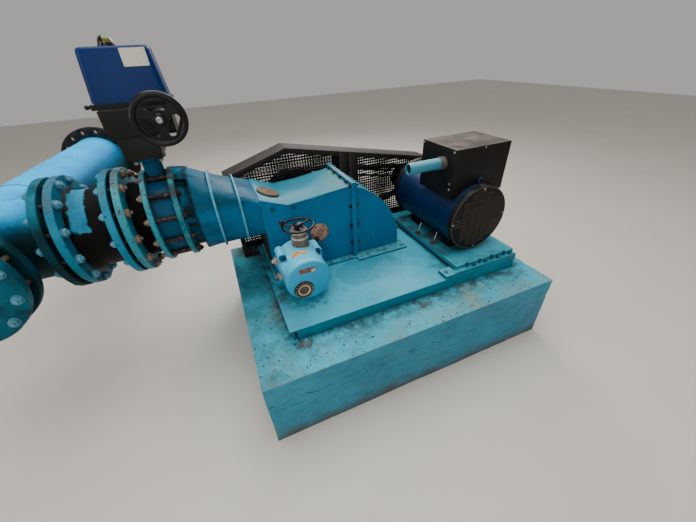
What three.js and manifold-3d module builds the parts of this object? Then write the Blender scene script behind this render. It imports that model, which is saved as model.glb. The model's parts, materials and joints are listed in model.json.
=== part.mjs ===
// Cross-flow hydro turbine and belt-driven generator set on a concrete plinth
// Millimetres, +Z up, +X along the plinth's long front edge, +Y to the back
// Origin: centre of the plinth's underside

import * as THREE from "three";
import { mergeVertices } from "three/addons/utils/BufferGeometryUtils.js";
import Module from "manifold-3d";

const wasm = await Module();
wasm.setup();

// Driving dimensions
const PLINTH = { length: 1900, depth: 1400, height: 460 };
const FRAME = { left: 247, right: 1790, front: 233, back: 1200, height: 70, plate: 10, overhang: 42, lip: 5 };
const CHANNEL = { flange: 55, wall: 8 };
const CASING = {
  left: 250, joint: 816, near: 745, far: 1155, valleyX: 400, flat: 150, leftTop: 620, valley: 560, jointTop: 600,
};
const COVER = { fromLeft: 72, fromCentre: 40, radius: 68, thickness: 14 };
const HOOD = { centreX: 650, centreZ: 110, radius: 513, right: 1162 };
const FLANGE_PLATE = { thickness: 14, proud: 26 };
const FOOT = { thickness: 12, width: 80, narrow: 40 };
const SHAFT = { x: 575, z: 335, radius: 35 };
const BEARING_CAP = { radius: 60, face: 46, length: 30, bevel: 10 };
const PIPE = { y: 950, z: 565, outer: 203, wall: 8, teeFlange: 285, thick: 36 };
const VALVE_FLANGE = { radius: 252, thick: 25 };
const JOINT_FLANGE = { radius: 282, thick: 34 };
const INLET = { bottom: 400, end: 250, start: -86, startRadius: 237 };
const STATION = { reducer: -145, valve: -170, ring: -274, jointRight: -378, jointLeft: -430, spool: -640, tee: -700 };
const HEADER = { x: -1024, near: -310, weld: 330, far: 1550, spacer: 54, turn: 6.7 };
const GENERATOR = { x: 1547, z: 354, radius: 212, near: 385, far: 1110, cover: 40, bell: 60, shaft: 24 };
const GENERATOR_FOOT = { front: 520, rear: 900, halfLength: 45, halfWidth: 130, height: 118, arch: 70 };
const TRAY = { left: 1300, right: 1790, front: 262, back: 1040, top: 127, wall: 8, lip: 14 };
const RAIL = { left: 1211, right: 1788, width: 82, height: 25, front: 229, rear: 950 };
const TERMINAL = { left: 1342, right: 1752, near: 455, far: 775, bottom: 504, top: 800 };
const CONDUIT = { y: 555, z: 707, radius: 33, nut: 38, length: 250 };
const PULLEY = { large: 250, small: 105, near: 1240, far: 1340, recess: 25, rim: 30 };
const BELT = { seat: 0.3, thickness: 12, near: 1248, far: 1332 };
const GUARD = { near: 1212, far: 1378, left: 95, leftTop: 628, peakX: 530, peakZ: 762, right: 1712, rightTop: 528 };
const GUARD_SHEET = 3;
const GUARD_RIM = { wall: 6, gap: 0.3 };
const VANE_DRIVE = { x: 390, z: 243, radius: 130, flare: 6, near: 400, far: 655 };
const VANE_WHEEL = { x: 412, y: 598, z: 492, radius: 96, rim: 7, stub: -60, neck: 50 };
const WHEEL_HUB = { radius: 26, half: 16, stub: 12 };
const VALVE_DRIVE = { x: -225, bottom: 896, gearSplit: 1000, gearTop: 1120, top: 1352 };
const GEARBOX_LOWER = { left: -312, right: -146, near: 846, far: 1054 };
const GEARBOX_UPPER = { left: -338, right: -52, near: 840, far: 1040 };
const VALVE_HOUSING = { left: -362, right: -32, near: 872, far: 1096, skirt: 22, step: 8 };
const VALVE_WHEEL = { x: -92, y: 705, z: 1082, radius: 112, rim: 13, stub: 90 };
const FIT = 0.4;

// Paint and metal colours
const paint = (color, roughness = 0.55, metalness = 0.1) => (
  new THREE.MeshStandardMaterial({ color, roughness, metalness }));
const LIGHT_BLUE = paint(0x4fb0cf);
const TEAL = paint(0x13688f);
const DEEP_BLUE = paint(0x0d2f66, 0.4);
const NAVY = paint(0x0a1c40, 0.5);
const BLACK = paint(0x141414, 0.6);
const BITUMEN = paint(0x0b0c0e, 0.5);
const RUST = paint(0x8a5a3a, 0.85, 0.3);
const STEEL = paint(0x8b8d8f, 0.4, 0.9);
const RUBBER = paint(0x1a1a1a, 0.9, 0);
const CONCRETE = paint(0x63a9bd, 0.85, 0);
const DRAB = paint(0x5a5148, 0.7, 0.2);

// The plant stands in the frame of the plinth's top front left corner
const model = new THREE.Group();
const plant = new THREE.Group();
plant.position.set(-PLINTH.length / 2, -PLINTH.depth / 2, PLINTH.height);
model.add(plant);

// Solids and meshes
function solid(geometry) {
  const bare = geometry.index ? geometry.toNonIndexed() : geometry.clone();
  bare.deleteAttribute("normal");
  bare.deleteAttribute("uv");
  const merged = mergeVertices(bare, 1e-3);
  return new wasm.Manifold(new wasm.Mesh({
    numProp: 3,
    vertProperties: new Float32Array(merged.attributes.position.array),
    triVerts: new Uint32Array(merged.index.array),
  }));
}

function geometryOf(manifold) {
  const mesh = manifold.getMesh();
  const geometry = new THREE.BufferGeometry();
  geometry.setAttribute("position", new THREE.BufferAttribute(new Float32Array(mesh.vertProperties), 3));
  geometry.setIndex(new THREE.BufferAttribute(new Uint32Array(mesh.triVerts), 1));
  return geometry;
}

function add(name, shape, material, parent = plant) {
  const geometry = shape instanceof THREE.BufferGeometry ? shape : geometryOf(shape);
  const mesh = new THREE.Mesh(geometry, material);
  mesh.name = name;
  parent.add(mesh);
  return mesh;
}

const join = (first, ...rest) => rest.reduce((whole, piece) => whole.add(piece), first);
const cut = (first, ...rest) => rest.reduce((whole, piece) => whole.subtract(piece), first);

// Basic forms
function block(x0, x1, y0, y1, z0, z1) {
  const geometry = new THREE.BoxGeometry(x1 - x0, y1 - y0, z1 - z0);
  geometry.translate((x0 + x1) / 2, (y0 + y1) / 2, (z0 + z1) / 2);
  return solid(geometry);
}

// Turned profile of [radius, distance] pairs about the X, Y or Z axis through a point
function turned(axis, centre, profile, segments = 40) {
  const geometry = new THREE.LatheGeometry(profile.map(([r, a]) => new THREE.Vector2(r, a)), segments);
  if (axis === "x") geometry.rotateZ(-Math.PI / 2);
  if (axis === "z") geometry.rotateX(Math.PI / 2);
  geometry.translate(...centre);
  return solid(geometry);
}

const disc = (axis, centre, radius, from, to, segments = 40) => (
  turned(axis, centre, [[0, from], [radius, from], [radius, to], [0, to]], segments));

const ring = (axis, centre, inner, outer, from, to, segments = 40) => (
  turned(axis, centre, [[inner, from], [outer, from], [outer, to], [inner, to], [inner, from]], segments));

// Flat outline of [x, z] points, standing in the XZ plane between two values of Y
function upright(points, y0, y1) {
  const shape = new THREE.Shape(points.map(([x, z]) => new THREE.Vector2(x, z)));
  const geometry = new THREE.ExtrudeGeometry(shape, { depth: y1 - y0, bevelEnabled: false, curveSegments: 24 });
  geometry.rotateX(Math.PI / 2);
  geometry.translate(0, y1, 0);
  return solid(geometry);
}

// Skin of cross sections, each a ring of points in the same order
function loft(sections) {
  const count = sections[0].length;
  const points = sections.flat();
  const index = [];
  for (let s = 0; s + 1 < sections.length; s += 1) {
    for (let i = 0; i < count; i += 1) {
      const a = s * count + i;
      const b = s * count + (i + 1) % count;
      index.push(a, b, a + count, b, b + count, a + count);
    }
  }
  const centre = (section) => section.reduce((sum, p) => sum.add(p), new THREE.Vector3()).divideScalar(count);
  const last = (sections.length - 1) * count;
  const startCentre = points.length;
  for (let i = 0; i < count; i += 1) {
    const next = (i + 1) % count;
    index.push(startCentre, next, i);
    index.push(startCentre + 1, last + i, last + next);
  }
  const all = [...points, centre(sections[0]), centre(sections.at(-1))];
  const geometry = new THREE.BufferGeometry().setFromPoints(all);
  geometry.setIndex(index);
  const wrapped = geometry.toNonIndexed();
  return solid(wrapped);
}

// Concrete plinth, one cast block
add("concrete_plinth", geometryOf(block(
  -PLINTH.length / 2, PLINTH.length / 2, -PLINTH.depth / 2, PLINTH.depth / 2, 0, PLINTH.height)), CONCRETE, model);

// Base frame of rolled channels under one deck plate
const deckTop = FRAME.height + FRAME.plate;

function longChannel(name, y0, y1, webAtFront) {
  const body = block(FRAME.left, FRAME.right, y0, y1, 0, FRAME.height);
  const hollowFrom = webAtFront ? y0 + CHANNEL.wall : y0 - 1;
  const hollowTo = webAtFront ? y1 + 1 : y1 - CHANNEL.wall;
  const hollow = block(
    FRAME.left - 1, FRAME.right + 1, hollowFrom, hollowTo, CHANNEL.wall, FRAME.height - CHANNEL.wall);
  add(name, cut(body, hollow), LIGHT_BLUE);
}

longChannel("base_channel_front", FRAME.front, FRAME.front + CHANNEL.flange, true);
longChannel("base_channel_rear", FRAME.back - CHANNEL.flange, FRAME.back, false);

function crossChannel(name, x0, webAtLeft) {
  const x1 = x0 + CHANNEL.flange;
  const y0 = FRAME.front + CHANNEL.flange;
  const y1 = FRAME.back - CHANNEL.flange;
  const hollowFrom = webAtLeft ? x0 + CHANNEL.wall : x0 - 1;
  const hollowTo = webAtLeft ? x1 + 1 : x1 - CHANNEL.wall;
  const hollow = block(hollowFrom, hollowTo, y0 - 1, y1 + 1, CHANNEL.wall, FRAME.height - CHANNEL.wall);
  add(name, cut(block(x0, x1, y0, y1, 0, FRAME.height), hollow), LIGHT_BLUE);
}

crossChannel("base_channel_left", FRAME.left, true);
crossChannel("base_channel_right", FRAME.right - CHANNEL.flange, false);

add("deck_plate", block(
  FRAME.left - FRAME.overhang, FRAME.right, FRAME.front - FRAME.lip, FRAME.back, FRAME.height, deckTop), LIGHT_BLUE);

// Turbine casing, inlet half: a welded box with a dipped roof
const jointLeft = CASING.joint - FLANGE_PLATE.thickness;
const jointRight = CASING.joint + FLANGE_PLATE.thickness;
const footTop = deckTop + FOOT.thickness;

function jointPlate(x0, x1) {
  const proud = FLANGE_PLATE.proud;
  return block(x0, x1, CASING.near - proud, CASING.far + proud, footTop, CASING.jointTop + proud);
}

function footPlate(x0, x1, width) {
  return block(x0, x1, CASING.near - width, CASING.far + FOOT.narrow, deckTop, footTop);
}

const inletRoof = [
  [CASING.left, deckTop], [jointLeft, deckTop], [jointLeft, CASING.jointTop],
  [CASING.valleyX + CASING.flat, CASING.valley + 8], [CASING.valleyX, CASING.valley], [CASING.left, CASING.leftTop],
];
add("turbine_inlet_casing", join(
  upright(inletRoof, CASING.near, CASING.far),
  jointPlate(jointLeft, CASING.joint),
  footPlate(CASING.left - 14, CASING.joint, FOOT.narrow)), TEAL);

// Turbine casing, outlet hood: a quarter-round shell over the runner
function hoodOutline() {
  const points = [[CASING.joint, deckTop], [HOOD.right, deckTop]];
  const from = Math.asin((deckTop + 20 - HOOD.centreZ) / HOOD.radius);
  const to = Math.acos((jointRight - HOOD.centreX) / HOOD.radius);
  const steps = 16;
  for (let i = 0; i <= steps; i += 1) {
    const angle = from + (to - from) * i / steps;
    points.push([HOOD.centreX + HOOD.radius * Math.cos(angle), HOOD.centreZ + HOOD.radius * Math.sin(angle)]);
  }
  points.push([CASING.joint, HOOD.centreZ + HOOD.radius * Math.sin(to)]);
  return points;
}
add("turbine_hood", join(
  upright(hoodOutline(), CASING.near, CASING.far),
  jointPlate(CASING.joint, jointRight),
  footPlate(CASING.joint, HOOD.right + FOOT.narrow, FOOT.width)), TEAL);

// Round inspection cover on the sloping part of the roof
const roofSlope = Math.atan2(CASING.leftTop - CASING.valley, CASING.valleyX - CASING.left);
const cover = new THREE.Group();
cover.position.set(
  CASING.left + COVER.fromLeft, PIPE.y - COVER.fromCentre, CASING.leftTop - COVER.fromLeft * Math.tan(roofSlope));
cover.rotation.y = roofSlope;
plant.add(cover);
add("inspection_cover", disc("z", [0, 0, 0], COVER.radius, FIT, COVER.thickness, 36), RUST, cover);

// Shaft bearings and the front bearing cap
const capFront = CASING.near - BEARING_CAP.length;
add("bearing_cap_front", turned("y", [SHAFT.x, 0, SHAFT.z], [
  [0, capFront], [BEARING_CAP.face, capFront], [BEARING_CAP.radius, capFront + BEARING_CAP.bevel],
  [BEARING_CAP.radius, CASING.near], [0, CASING.near]]), RUST);
add("bearing_housing_rear", turned("y", [SHAFT.x, 0, SHAFT.z], [
  [SHAFT.radius + FIT, CASING.far], [95, CASING.far], [95, CASING.far + 18], [70, CASING.far + 24],
  [70, CASING.far + 42], [SHAFT.radius + FIT, CASING.far + 42], [SHAFT.radius + FIT, CASING.far]]), DEEP_BLUE);

// Turbine shaft and its large belt pulley
function pulleyProfile(radius, bore) {
  const web = radius - PULLEY.rim;
  const webNear = PULLEY.near + PULLEY.recess;
  const webFar = PULLEY.far - PULLEY.recess;
  return [
    [bore, webNear], [web, webNear], [web, PULLEY.near], [radius, PULLEY.near],
    [radius, PULLEY.far], [web, PULLEY.far], [web, webFar], [bore, webFar], [bore, webNear],
  ];
}
const shaftEnd = PULLEY.far + 6;
add("turbine_shaft", disc("y", [SHAFT.x, 0, SHAFT.z], SHAFT.radius, CASING.far + FIT, shaftEnd, 24), STEEL);
add("turbine_pulley", turned("y", [SHAFT.x, 0, SHAFT.z], pulleyProfile(PULLEY.large, SHAFT.radius + FIT)), BLACK);

// Generator: barrel, louvred end cover, drive-end bell, feet
const genCentre = [GENERATOR.x, 0, GENERATOR.z];
const coverFar = GENERATOR.near + GENERATOR.cover;
const bellNear = GENERATOR.far - GENERATOR.bell;
const bossRadius = 60;
const bossLength = 20;
const shaftPocket = 30;
add("generator_end_cover", turned("y", genCentre, [
  [0, GENERATOR.near], [GENERATOR.radius - 6, GENERATOR.near], [GENERATOR.radius + 6, GENERATOR.near + 10],
  [GENERATOR.radius + 6, coverFar], [0, coverFar]]), BLACK);
add("generator_barrel", disc("y", genCentre, GENERATOR.radius, coverFar, bellNear), NAVY);
add("generator_drive_end_bell", cut(
  turned("y", genCentre, [
    [0, bellNear], [GENERATOR.radius + 8, bellNear], [GENERATOR.radius + 8, GENERATOR.far - 22],
    [GENERATOR.radius - 40, GENERATOR.far], [bossRadius, GENERATOR.far],
    [bossRadius, GENERATOR.far + bossLength], [0, GENERATOR.far + bossLength]]),
  disc("y", genCentre, GENERATOR.shaft + FIT, GENERATOR.far - shaftPocket, GENERATOR.far + shaftPocket, 24)), BLACK);
add("generator_shaft", disc(
  "y", genCentre, GENERATOR.shaft, GENERATOR.far - shaftPocket + FIT, shaftEnd, 24), STEEL);
add("generator_pulley", turned("y", genCentre, pulleyProfile(PULLEY.small, GENERATOR.shaft + FIT), 32), BLACK);

// Two cast feet cradle the barrel on the tray
function generatorFoot(name, y) {
  const { halfLength, halfWidth, height, arch } = GENERATOR_FOOT;
  const y0 = y - halfLength;
  const y1 = y + halfLength;
  const body = block(GENERATOR.x - halfWidth, GENERATOR.x + halfWidth, y0, y1, TRAY.top, TRAY.top + height);
  const seat = disc("y", genCentre, GENERATOR.radius + FIT, y0 - 5, y1 + 5);
  const relief = block(GENERATOR.x - arch, GENERATOR.x + arch, y0 - 5, y1 + 5, TRAY.top - 5, TRAY.top + 8);
  add(name, cut(body, seat, relief), NAVY);
}
generatorFoot("generator_foot_front", GENERATOR_FOOT.front);
generatorFoot("generator_foot_rear", GENERATOR_FOOT.rear);

// Terminal box sits in a saddle cut to the barrel, with a conduit stub on its side
add("terminal_box", cut(
  block(TERMINAL.left, TERMINAL.right, TERMINAL.near, TERMINAL.far, TERMINAL.bottom, TERMINAL.top),
  disc("y", genCentre, GENERATOR.radius + FIT, TERMINAL.near - 5, TERMINAL.far + 5)), BLACK);
const conduitEnd = TERMINAL.left - CONDUIT.length;
const nutStart = TERMINAL.left - CONDUIT.nut;
add("conduit_stub", turned("x", [0, CONDUIT.y, CONDUIT.z], [
  [0, conduitEnd], [CONDUIT.radius, conduitEnd], [CONDUIT.radius, nutStart],
  [CONDUIT.radius + 5, nutStart], [CONDUIT.radius + 5, TERMINAL.left], [0, TERMINAL.left]], 24), LIGHT_BLUE);

// Generator tray on two slide rails
function slideRail(name, y0) {
  const side = 10;
  const y1 = y0 + RAIL.width;
  const body = block(RAIL.left, RAIL.right, y0, y1, deckTop, deckTop + RAIL.height);
  const hollow = block(
    RAIL.left - 1, RAIL.right + 1, y0 + side, y1 - side, deckTop - 1, deckTop + RAIL.height - CHANNEL.wall);
  add(name, cut(body, hollow), LIGHT_BLUE);
}
slideRail("slide_rail_front", RAIL.front);
slideRail("slide_rail_rear", RAIL.rear);

const railTop = deckTop + RAIL.height;
const trayHollow = block(
  TRAY.left + TRAY.wall, TRAY.right - TRAY.wall,
  RAIL.front + RAIL.width, RAIL.rear, railTop - 1, TRAY.top - TRAY.wall);
add("generator_tray", join(
  cut(block(TRAY.left, TRAY.right, TRAY.front, TRAY.back, railTop, TRAY.top), trayHollow),
  block(TRAY.left, TRAY.left + TRAY.wall, TRAY.front, TRAY.back, railTop, TRAY.top + TRAY.lip)), LIGHT_BLUE);

// Belt set, one fixed loop seated round both pulleys
function beltOutline(offset) {
  const big = PULLEY.large + offset;
  const small = PULLEY.small + offset;
  const dx = GENERATOR.x - SHAFT.x;
  const dz = GENERATOR.z - SHAFT.z;
  const span = Math.hypot(dx, dz);
  const tilt = Math.atan2(dz, dx);
  const wrap = Math.acos((big - small) / span);
  const points = [];
  const arc = (x, z, radius, from, sweep, steps) => {
    const facing = radius / Math.cos(sweep / steps / 2);
    for (let i = 0; i <= steps; i += 1) {
      const angle = from + sweep * i / steps;
      points.push([x + facing * Math.cos(angle), z + facing * Math.sin(angle)]);
    }
  };
  arc(SHAFT.x, SHAFT.z, big, tilt + wrap, 2 * (Math.PI - wrap), 24);
  arc(GENERATOR.x, GENERATOR.z, small, tilt - wrap, 2 * wrap, 12);
  return points;
}
add("drive_belts", cut(
  upright(beltOutline(BELT.seat + BELT.thickness), BELT.near, BELT.far),
  upright(beltOutline(BELT.seat), BELT.near - 1, BELT.far + 1)), RUBBER);

// Belt guard: two sheets of perforated steel in angle frames, joined by a top rail
const guardOutline = [
  [GUARD.left, 0], [GUARD.right, 0], [GUARD.right, GUARD.rightTop],
  [GUARD.peakX, GUARD.peakZ], [GUARD.left, GUARD.leftTop],
];
const guardHole = { turbine: 80, generator: 70 };
function guardFace(name, y0, shaftHoles) {
  const sheet = upright(guardOutline, y0, y0 + GUARD_SHEET);
  const holes = [[SHAFT, guardHole.turbine], [GENERATOR, guardHole.generator]].map(([centre, radius]) => (
    disc("y", [centre.x, 0, centre.z], radius, y0 - 5, y0 + 5 + GUARD_SHEET, 32)));
  add(name, shaftHoles ? cut(sheet, ...holes) : sheet, BLACK);
}
guardFace("guard_front_mesh", GUARD.near, true);
guardFace("guard_rear_mesh", GUARD.far - GUARD_SHEET, false);

// The rim between the two faces: an end plate each side and two plates over the top
function rimPlate(name, points) {
  add(name, upright(points, GUARD.near + GUARD_SHEET + GUARD_RIM.gap, GUARD.far - GUARD_SHEET - GUARD_RIM.gap), DRAB);
}
const edgeZ = (x, x0, z0, x1, z1) => z0 + (z1 - z0) * (x - x0) / (x1 - x0);
const leftTopAt = (x) => edgeZ(x, GUARD.left, GUARD.leftTop, GUARD.peakX, GUARD.peakZ);
const rightTopAt = (x) => edgeZ(x, GUARD.peakX, GUARD.peakZ, GUARD.right, GUARD.rightTop);
const leftInner = GUARD.left + GUARD_RIM.wall;
const rightInner = GUARD.right - GUARD_RIM.wall;
rimPlate("guard_end_left", [
  [GUARD.left, 0], [leftInner, 0], [leftInner, leftTopAt(leftInner)], [GUARD.left, GUARD.leftTop]]);
rimPlate("guard_end_right", [
  [rightInner, 0], [GUARD.right, 0], [GUARD.right, GUARD.rightTop], [rightInner, rightTopAt(rightInner)]]);
const topLeftStart = leftInner + GUARD_RIM.gap;
const topLeftEnd = GUARD.peakX - GUARD_RIM.gap;
const topRightEnd = rightInner - GUARD_RIM.gap;
rimPlate("guard_top_left", [
  [topLeftStart, leftTopAt(topLeftStart) - GUARD_RIM.wall], [topLeftEnd, GUARD.peakZ - GUARD_RIM.wall],
  [topLeftEnd, leftTopAt(topLeftEnd)], [topLeftStart, leftTopAt(topLeftStart)]]);
rimPlate("guard_top_right", [
  [GUARD.peakX, GUARD.peakZ - GUARD_RIM.wall], [topRightEnd, rightTopAt(topRightEnd) - GUARD_RIM.wall],
  [topRightEnd, rightTopAt(topRightEnd)], [GUARD.peakX, GUARD.peakZ]]);

// Inlet reducer: round at its flange, square at the casing, with two stiffening ribs
const sectionPoints = 48;
function inletSection(t, grow = 0) {
  const x = INLET.start + (INLET.end - INLET.start) * t;
  const halfWidth = (CASING.far - CASING.near) / 2 + grow;
  const top = CASING.leftTop + grow;
  const bottom = INLET.bottom - grow;
  const section = [];
  for (let i = 0; i < sectionPoints; i += 1) {
    const angle = 2 * Math.PI * (i + 0.5) / sectionPoints;
    const round = new THREE.Vector2(Math.cos(angle), Math.sin(angle));
    const square = round.clone().divideScalar(Math.max(Math.abs(round.x), Math.abs(round.y)));
    const squareY = PIPE.y + halfWidth * square.x;
    const squareZ = (top + bottom) / 2 + (top - bottom) / 2 * square.y;
    const roundY = PIPE.y + (INLET.startRadius + grow) * round.x;
    const roundZ = PIPE.z + (INLET.startRadius + grow) * round.y;
    section.push(new THREE.Vector3(x, roundY + (squareY - roundY) * t, roundZ + (squareZ - roundZ) * t));
  }
  return section;
}
function rib(t) {
  const height = 16;
  const thickness = 10;
  return loft([inletSection(t, height), inletSection(t + thickness / (INLET.end - INLET.start), height)]);
}
const pipeCentre = [0, PIPE.y, PIPE.z];
const cone = [0, 0.2, 0.4, 0.6, 0.8, 1].map((t) => inletSection(t));
add("inlet_reducer", join(
  loft(cone),
  disc("x", pipeCentre, PIPE.outer, STATION.reducer, INLET.start + 1, 40),
  disc("x", pipeCentre, VALVE_FLANGE.radius, STATION.valve, STATION.reducer, 40),
  rib(0.29), rib(0.67)), TEAL);

// Butterfly valve: wafer body with a neck for the drive
const WAFER = { radius: 216, neck: 46, pad: 78, padDepth: 16 };
const padBottom = VALVE_DRIVE.bottom - WAFER.padDepth;
const neckCentre = [VALVE_DRIVE.x, PIPE.y, 0];
add("butterfly_valve_body", join(
  disc("x", pipeCentre, WAFER.radius, STATION.ring, STATION.valve),
  disc("z", neckCentre, WAFER.neck, PIPE.z + WAFER.radius - 26, padBottom, 32),
  disc("z", neckCentre, WAFER.pad, padBottom, VALVE_DRIVE.bottom, 32)), DEEP_BLUE);

// Dismantling joint between the valve and the cast spool
const ringLeft = STATION.ring - VALVE_FLANGE.thick;
const middleLeft = STATION.jointRight - JOINT_FLANGE.thick;
add("joint_flange_ring", disc("x", pipeCentre, VALVE_FLANGE.radius, ringLeft, STATION.ring, 40), LIGHT_BLUE);
add("joint_sleeve", disc("x", pipeCentre, 200, STATION.jointRight, ringLeft, 40), BITUMEN);
add("joint_flange_middle", disc(
  "x", pipeCentre, JOINT_FLANGE.radius, middleLeft, STATION.jointRight, 40), LIGHT_BLUE);
add("joint_gasket", disc("x", pipeCentre, 222, STATION.jointLeft, middleLeft, 40), RUBBER);

// Cast spool with its two flanges
const spoolLeft = STATION.spool - PIPE.thick;
const spoolFlangeLeft = STATION.jointLeft - JOINT_FLANGE.thick;
const SPOOL = { radius: 204, root: 214 };
add("cast_spool", turned("x", pipeCentre, [
  [0, spoolLeft], [PIPE.teeFlange, spoolLeft], [PIPE.teeFlange, STATION.spool], [SPOOL.root, STATION.spool],
  [SPOOL.radius, STATION.spool + 30], [SPOOL.radius, spoolFlangeLeft - 20], [SPOOL.root, spoolFlangeLeft],
  [JOINT_FLANGE.radius, spoolFlangeLeft], [JOINT_FLANGE.radius, STATION.jointLeft], [0, STATION.jointLeft]], 40), BITUMEN);
add("tee_gasket", disc("x", pipeCentre, 250, STATION.tee, spoolLeft, 40), RUBBER);

// Header: a tee with a branch, welded to a long pipe that is open at its far flange, turned a little from square
const header = new THREE.Group();
header.position.set(HEADER.x, PIPE.y, PIPE.z);
header.rotation.z = -THREE.MathUtils.degToRad(HEADER.turn);
plant.add(header);
const bore = PIPE.outer - PIPE.wall;
const branchLeft = STATION.tee - PIPE.thick - HEADER.x;
const branchRight = STATION.tee - FIT - HEADER.x;
const here = [0, 0, 0];
const branch = (radius, from, to) => {
  const geometry = new THREE.CylinderGeometry(radius, radius, to - from, 40);
  geometry.rotateZ(-Math.PI / 2);
  geometry.translate((from + to) / 2, 0, 0);
  geometry.rotateZ(-header.rotation.z);
  return solid(geometry);
};
add("tee_header", cut(
  join(
    disc("y", here, PIPE.outer, HEADER.near, HEADER.weld - FIT, 40),
    disc("y", here, PIPE.teeFlange, HEADER.near, HEADER.near + PIPE.thick, 40),
    branch(PIPE.outer, 0, branchLeft + 1),
    branch(PIPE.teeFlange, branchLeft, branchRight)),
  disc("y", here, bore, HEADER.near - 5, HEADER.weld + 5, 40),
  branch(bore, 0, branchRight + 5)), LIGHT_BLUE, header);
add("header_pipe", ring("y", here, bore, PIPE.outer, HEADER.weld, HEADER.far), LIGHT_BLUE, header);
add("header_far_flange", ring(
  "y", here, PIPE.outer + FIT, PIPE.teeFlange, HEADER.far - PIPE.thick, HEADER.far, 40), BLACK, header);
const spacerNear = HEADER.near - HEADER.spacer;
add("header_spacer", disc("y", here, 214, spacerNear, HEADER.near - FIT, 40), BITUMEN, header);
add("blind_flange", disc(
  "y", here, PIPE.teeFlange, spacerNear - PIPE.thick - FIT, spacerNear - FIT, 40), LIGHT_BLUE, header);

// Handwheels, turned about Y or Z, with a stub that runs in the drive's boss
function handwheel(axis, wheel, spokes) {
  const centre = [wheel.x, wheel.y, wheel.z];
  const rimCentre = wheel.radius - wheel.rim;
  const rim = new THREE.TorusGeometry(rimCentre, wheel.rim, 8, 32);
  if (axis === "y") rim.rotateX(Math.PI / 2);
  rim.translate(...centre);
  const parts = [
    disc(axis, centre, WHEEL_HUB.radius, -WHEEL_HUB.half, WHEEL_HUB.half, 24),
    disc(axis, centre, WHEEL_HUB.stub, Math.min(0, wheel.stub), Math.max(0, wheel.stub), 20),
  ];
  for (let s = 0; s < spokes; s += 1) {
    const spoke = new THREE.BoxGeometry(rimCentre - 8, 22, 12);
    spoke.translate((rimCentre + 4) / 2, 0, 0);
    spoke.rotateZ(2 * Math.PI * (s + 0.25) / spokes);
    if (axis === "y") spoke.rotateX(Math.PI / 2);
    spoke.translate(...centre);
    parts.push(solid(spoke));
  }
  return join(solid(rim), ...parts);
}

// Valve drive: gearbox in two steps, motor housing, indicator dome, handwheel
const { gearSplit, gearTop } = VALVE_DRIVE;
const stepBlock = (step, z0, z1) => block(step.left, step.right, step.near, step.far, z0, z1);
add("valve_gearbox_lower", stepBlock(GEARBOX_LOWER, VALVE_DRIVE.bottom, gearSplit), BLACK);
const wheelCentre = [VALVE_WHEEL.x, 0, VALVE_WHEEL.z];
const bossNear = VALVE_WHEEL.y + 40;
add("valve_gearbox_upper", cut(
  join(
    stepBlock(GEARBOX_UPPER, gearSplit, gearTop),
    disc("y", wheelCentre, 34, bossNear, GEARBOX_UPPER.near + 10, 28)),
  disc("y", wheelCentre, WHEEL_HUB.stub + FIT, bossNear - 5, VALVE_WHEEL.y + VALVE_WHEEL.stub + 5, 20)), BLACK);
function housingSection(z, inset) {
  const { left, right, near, far } = VALVE_HOUSING;
  const corners = [
    [left + inset, near + inset], [right - inset, near + inset],
    [right - inset, far - inset], [left + inset, far - inset],
  ];
  return corners.map(([x, y]) => new THREE.Vector3(x, y, z));
}
const skirtTop = gearTop + VALVE_HOUSING.skirt;
add("valve_drive_housing", loft([
  housingSection(gearTop, 0),
  housingSection(skirtTop, 0),
  housingSection(skirtTop + 0.5, VALVE_HOUSING.step),
  housingSection(VALVE_DRIVE.top, VALVE_HOUSING.step + 20),
]), DEEP_BLUE);
const domeProfile = [[0, 0], [34, 0], [34, 14], [28, 30], [16, 40], [0, 43]];
add("valve_indicator_dome", turned(
  "z", [VALVE_DRIVE.x, (VALVE_HOUSING.near + VALVE_HOUSING.far) / 2, VALVE_DRIVE.top], domeProfile, 28), BLACK);
add("valve_handwheel", handwheel("y", VALVE_WHEEL, 3), BLACK);

// Guide-vane drive: round motor body, bracket, neck and small handwheel
const vaneCentre = [VANE_DRIVE.x, 0, VANE_DRIVE.z];
const vaneBody = turned("y", vaneCentre, [
  [0, VANE_DRIVE.near], [VANE_DRIVE.radius - 16, VANE_DRIVE.near], [VANE_DRIVE.radius, VANE_DRIVE.near + 18],
  [VANE_DRIVE.radius + VANE_DRIVE.flare, VANE_DRIVE.far], [0, VANE_DRIVE.far]], 44);
const LUG = { offset: 98, half: 26, back: 100, front: 4, bottom: 44, top: 96 };
const lug = (side) => block(
  VANE_DRIVE.x + side * LUG.offset - LUG.half, VANE_DRIVE.x + side * LUG.offset + LUG.half,
  VANE_DRIVE.far - LUG.back, VANE_DRIVE.far - LUG.front, VANE_DRIVE.z + LUG.bottom, VANE_DRIVE.z + LUG.top);
add("vane_drive_body", join(vaneBody, lug(-1), lug(1)), LIGHT_BLUE);
add("vane_drive_bracket", disc("y", vaneCentre, 84, VANE_DRIVE.far, CASING.near, 36), TEAL);
const vaneWheelFoot = [VANE_WHEEL.x, VANE_WHEEL.y, 0];
const neckTop = VANE_WHEEL.z - WHEEL_HUB.half - 6;
const neckFoot = VANE_DRIVE.z + VANE_DRIVE.radius - 16;
const neck = disc("z", vaneWheelFoot, VANE_WHEEL.neck, neckFoot, neckTop, 28);
const neckSaddle = turned("y", vaneCentre, [
  [0, VANE_DRIVE.near - 50], [VANE_DRIVE.radius + VANE_DRIVE.flare + FIT, VANE_DRIVE.near - 50],
  [VANE_DRIVE.radius + VANE_DRIVE.flare + FIT, VANE_DRIVE.far + 50], [0, VANE_DRIVE.far + 50]], 44);
const neckBore = disc("z", vaneWheelFoot, WHEEL_HUB.stub + FIT, VANE_WHEEL.z + VANE_WHEEL.stub - 10, neckTop + 5, 20);
add("vane_drive_neck", cut(neck, neckSaddle, neckBore), RUST);
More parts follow.
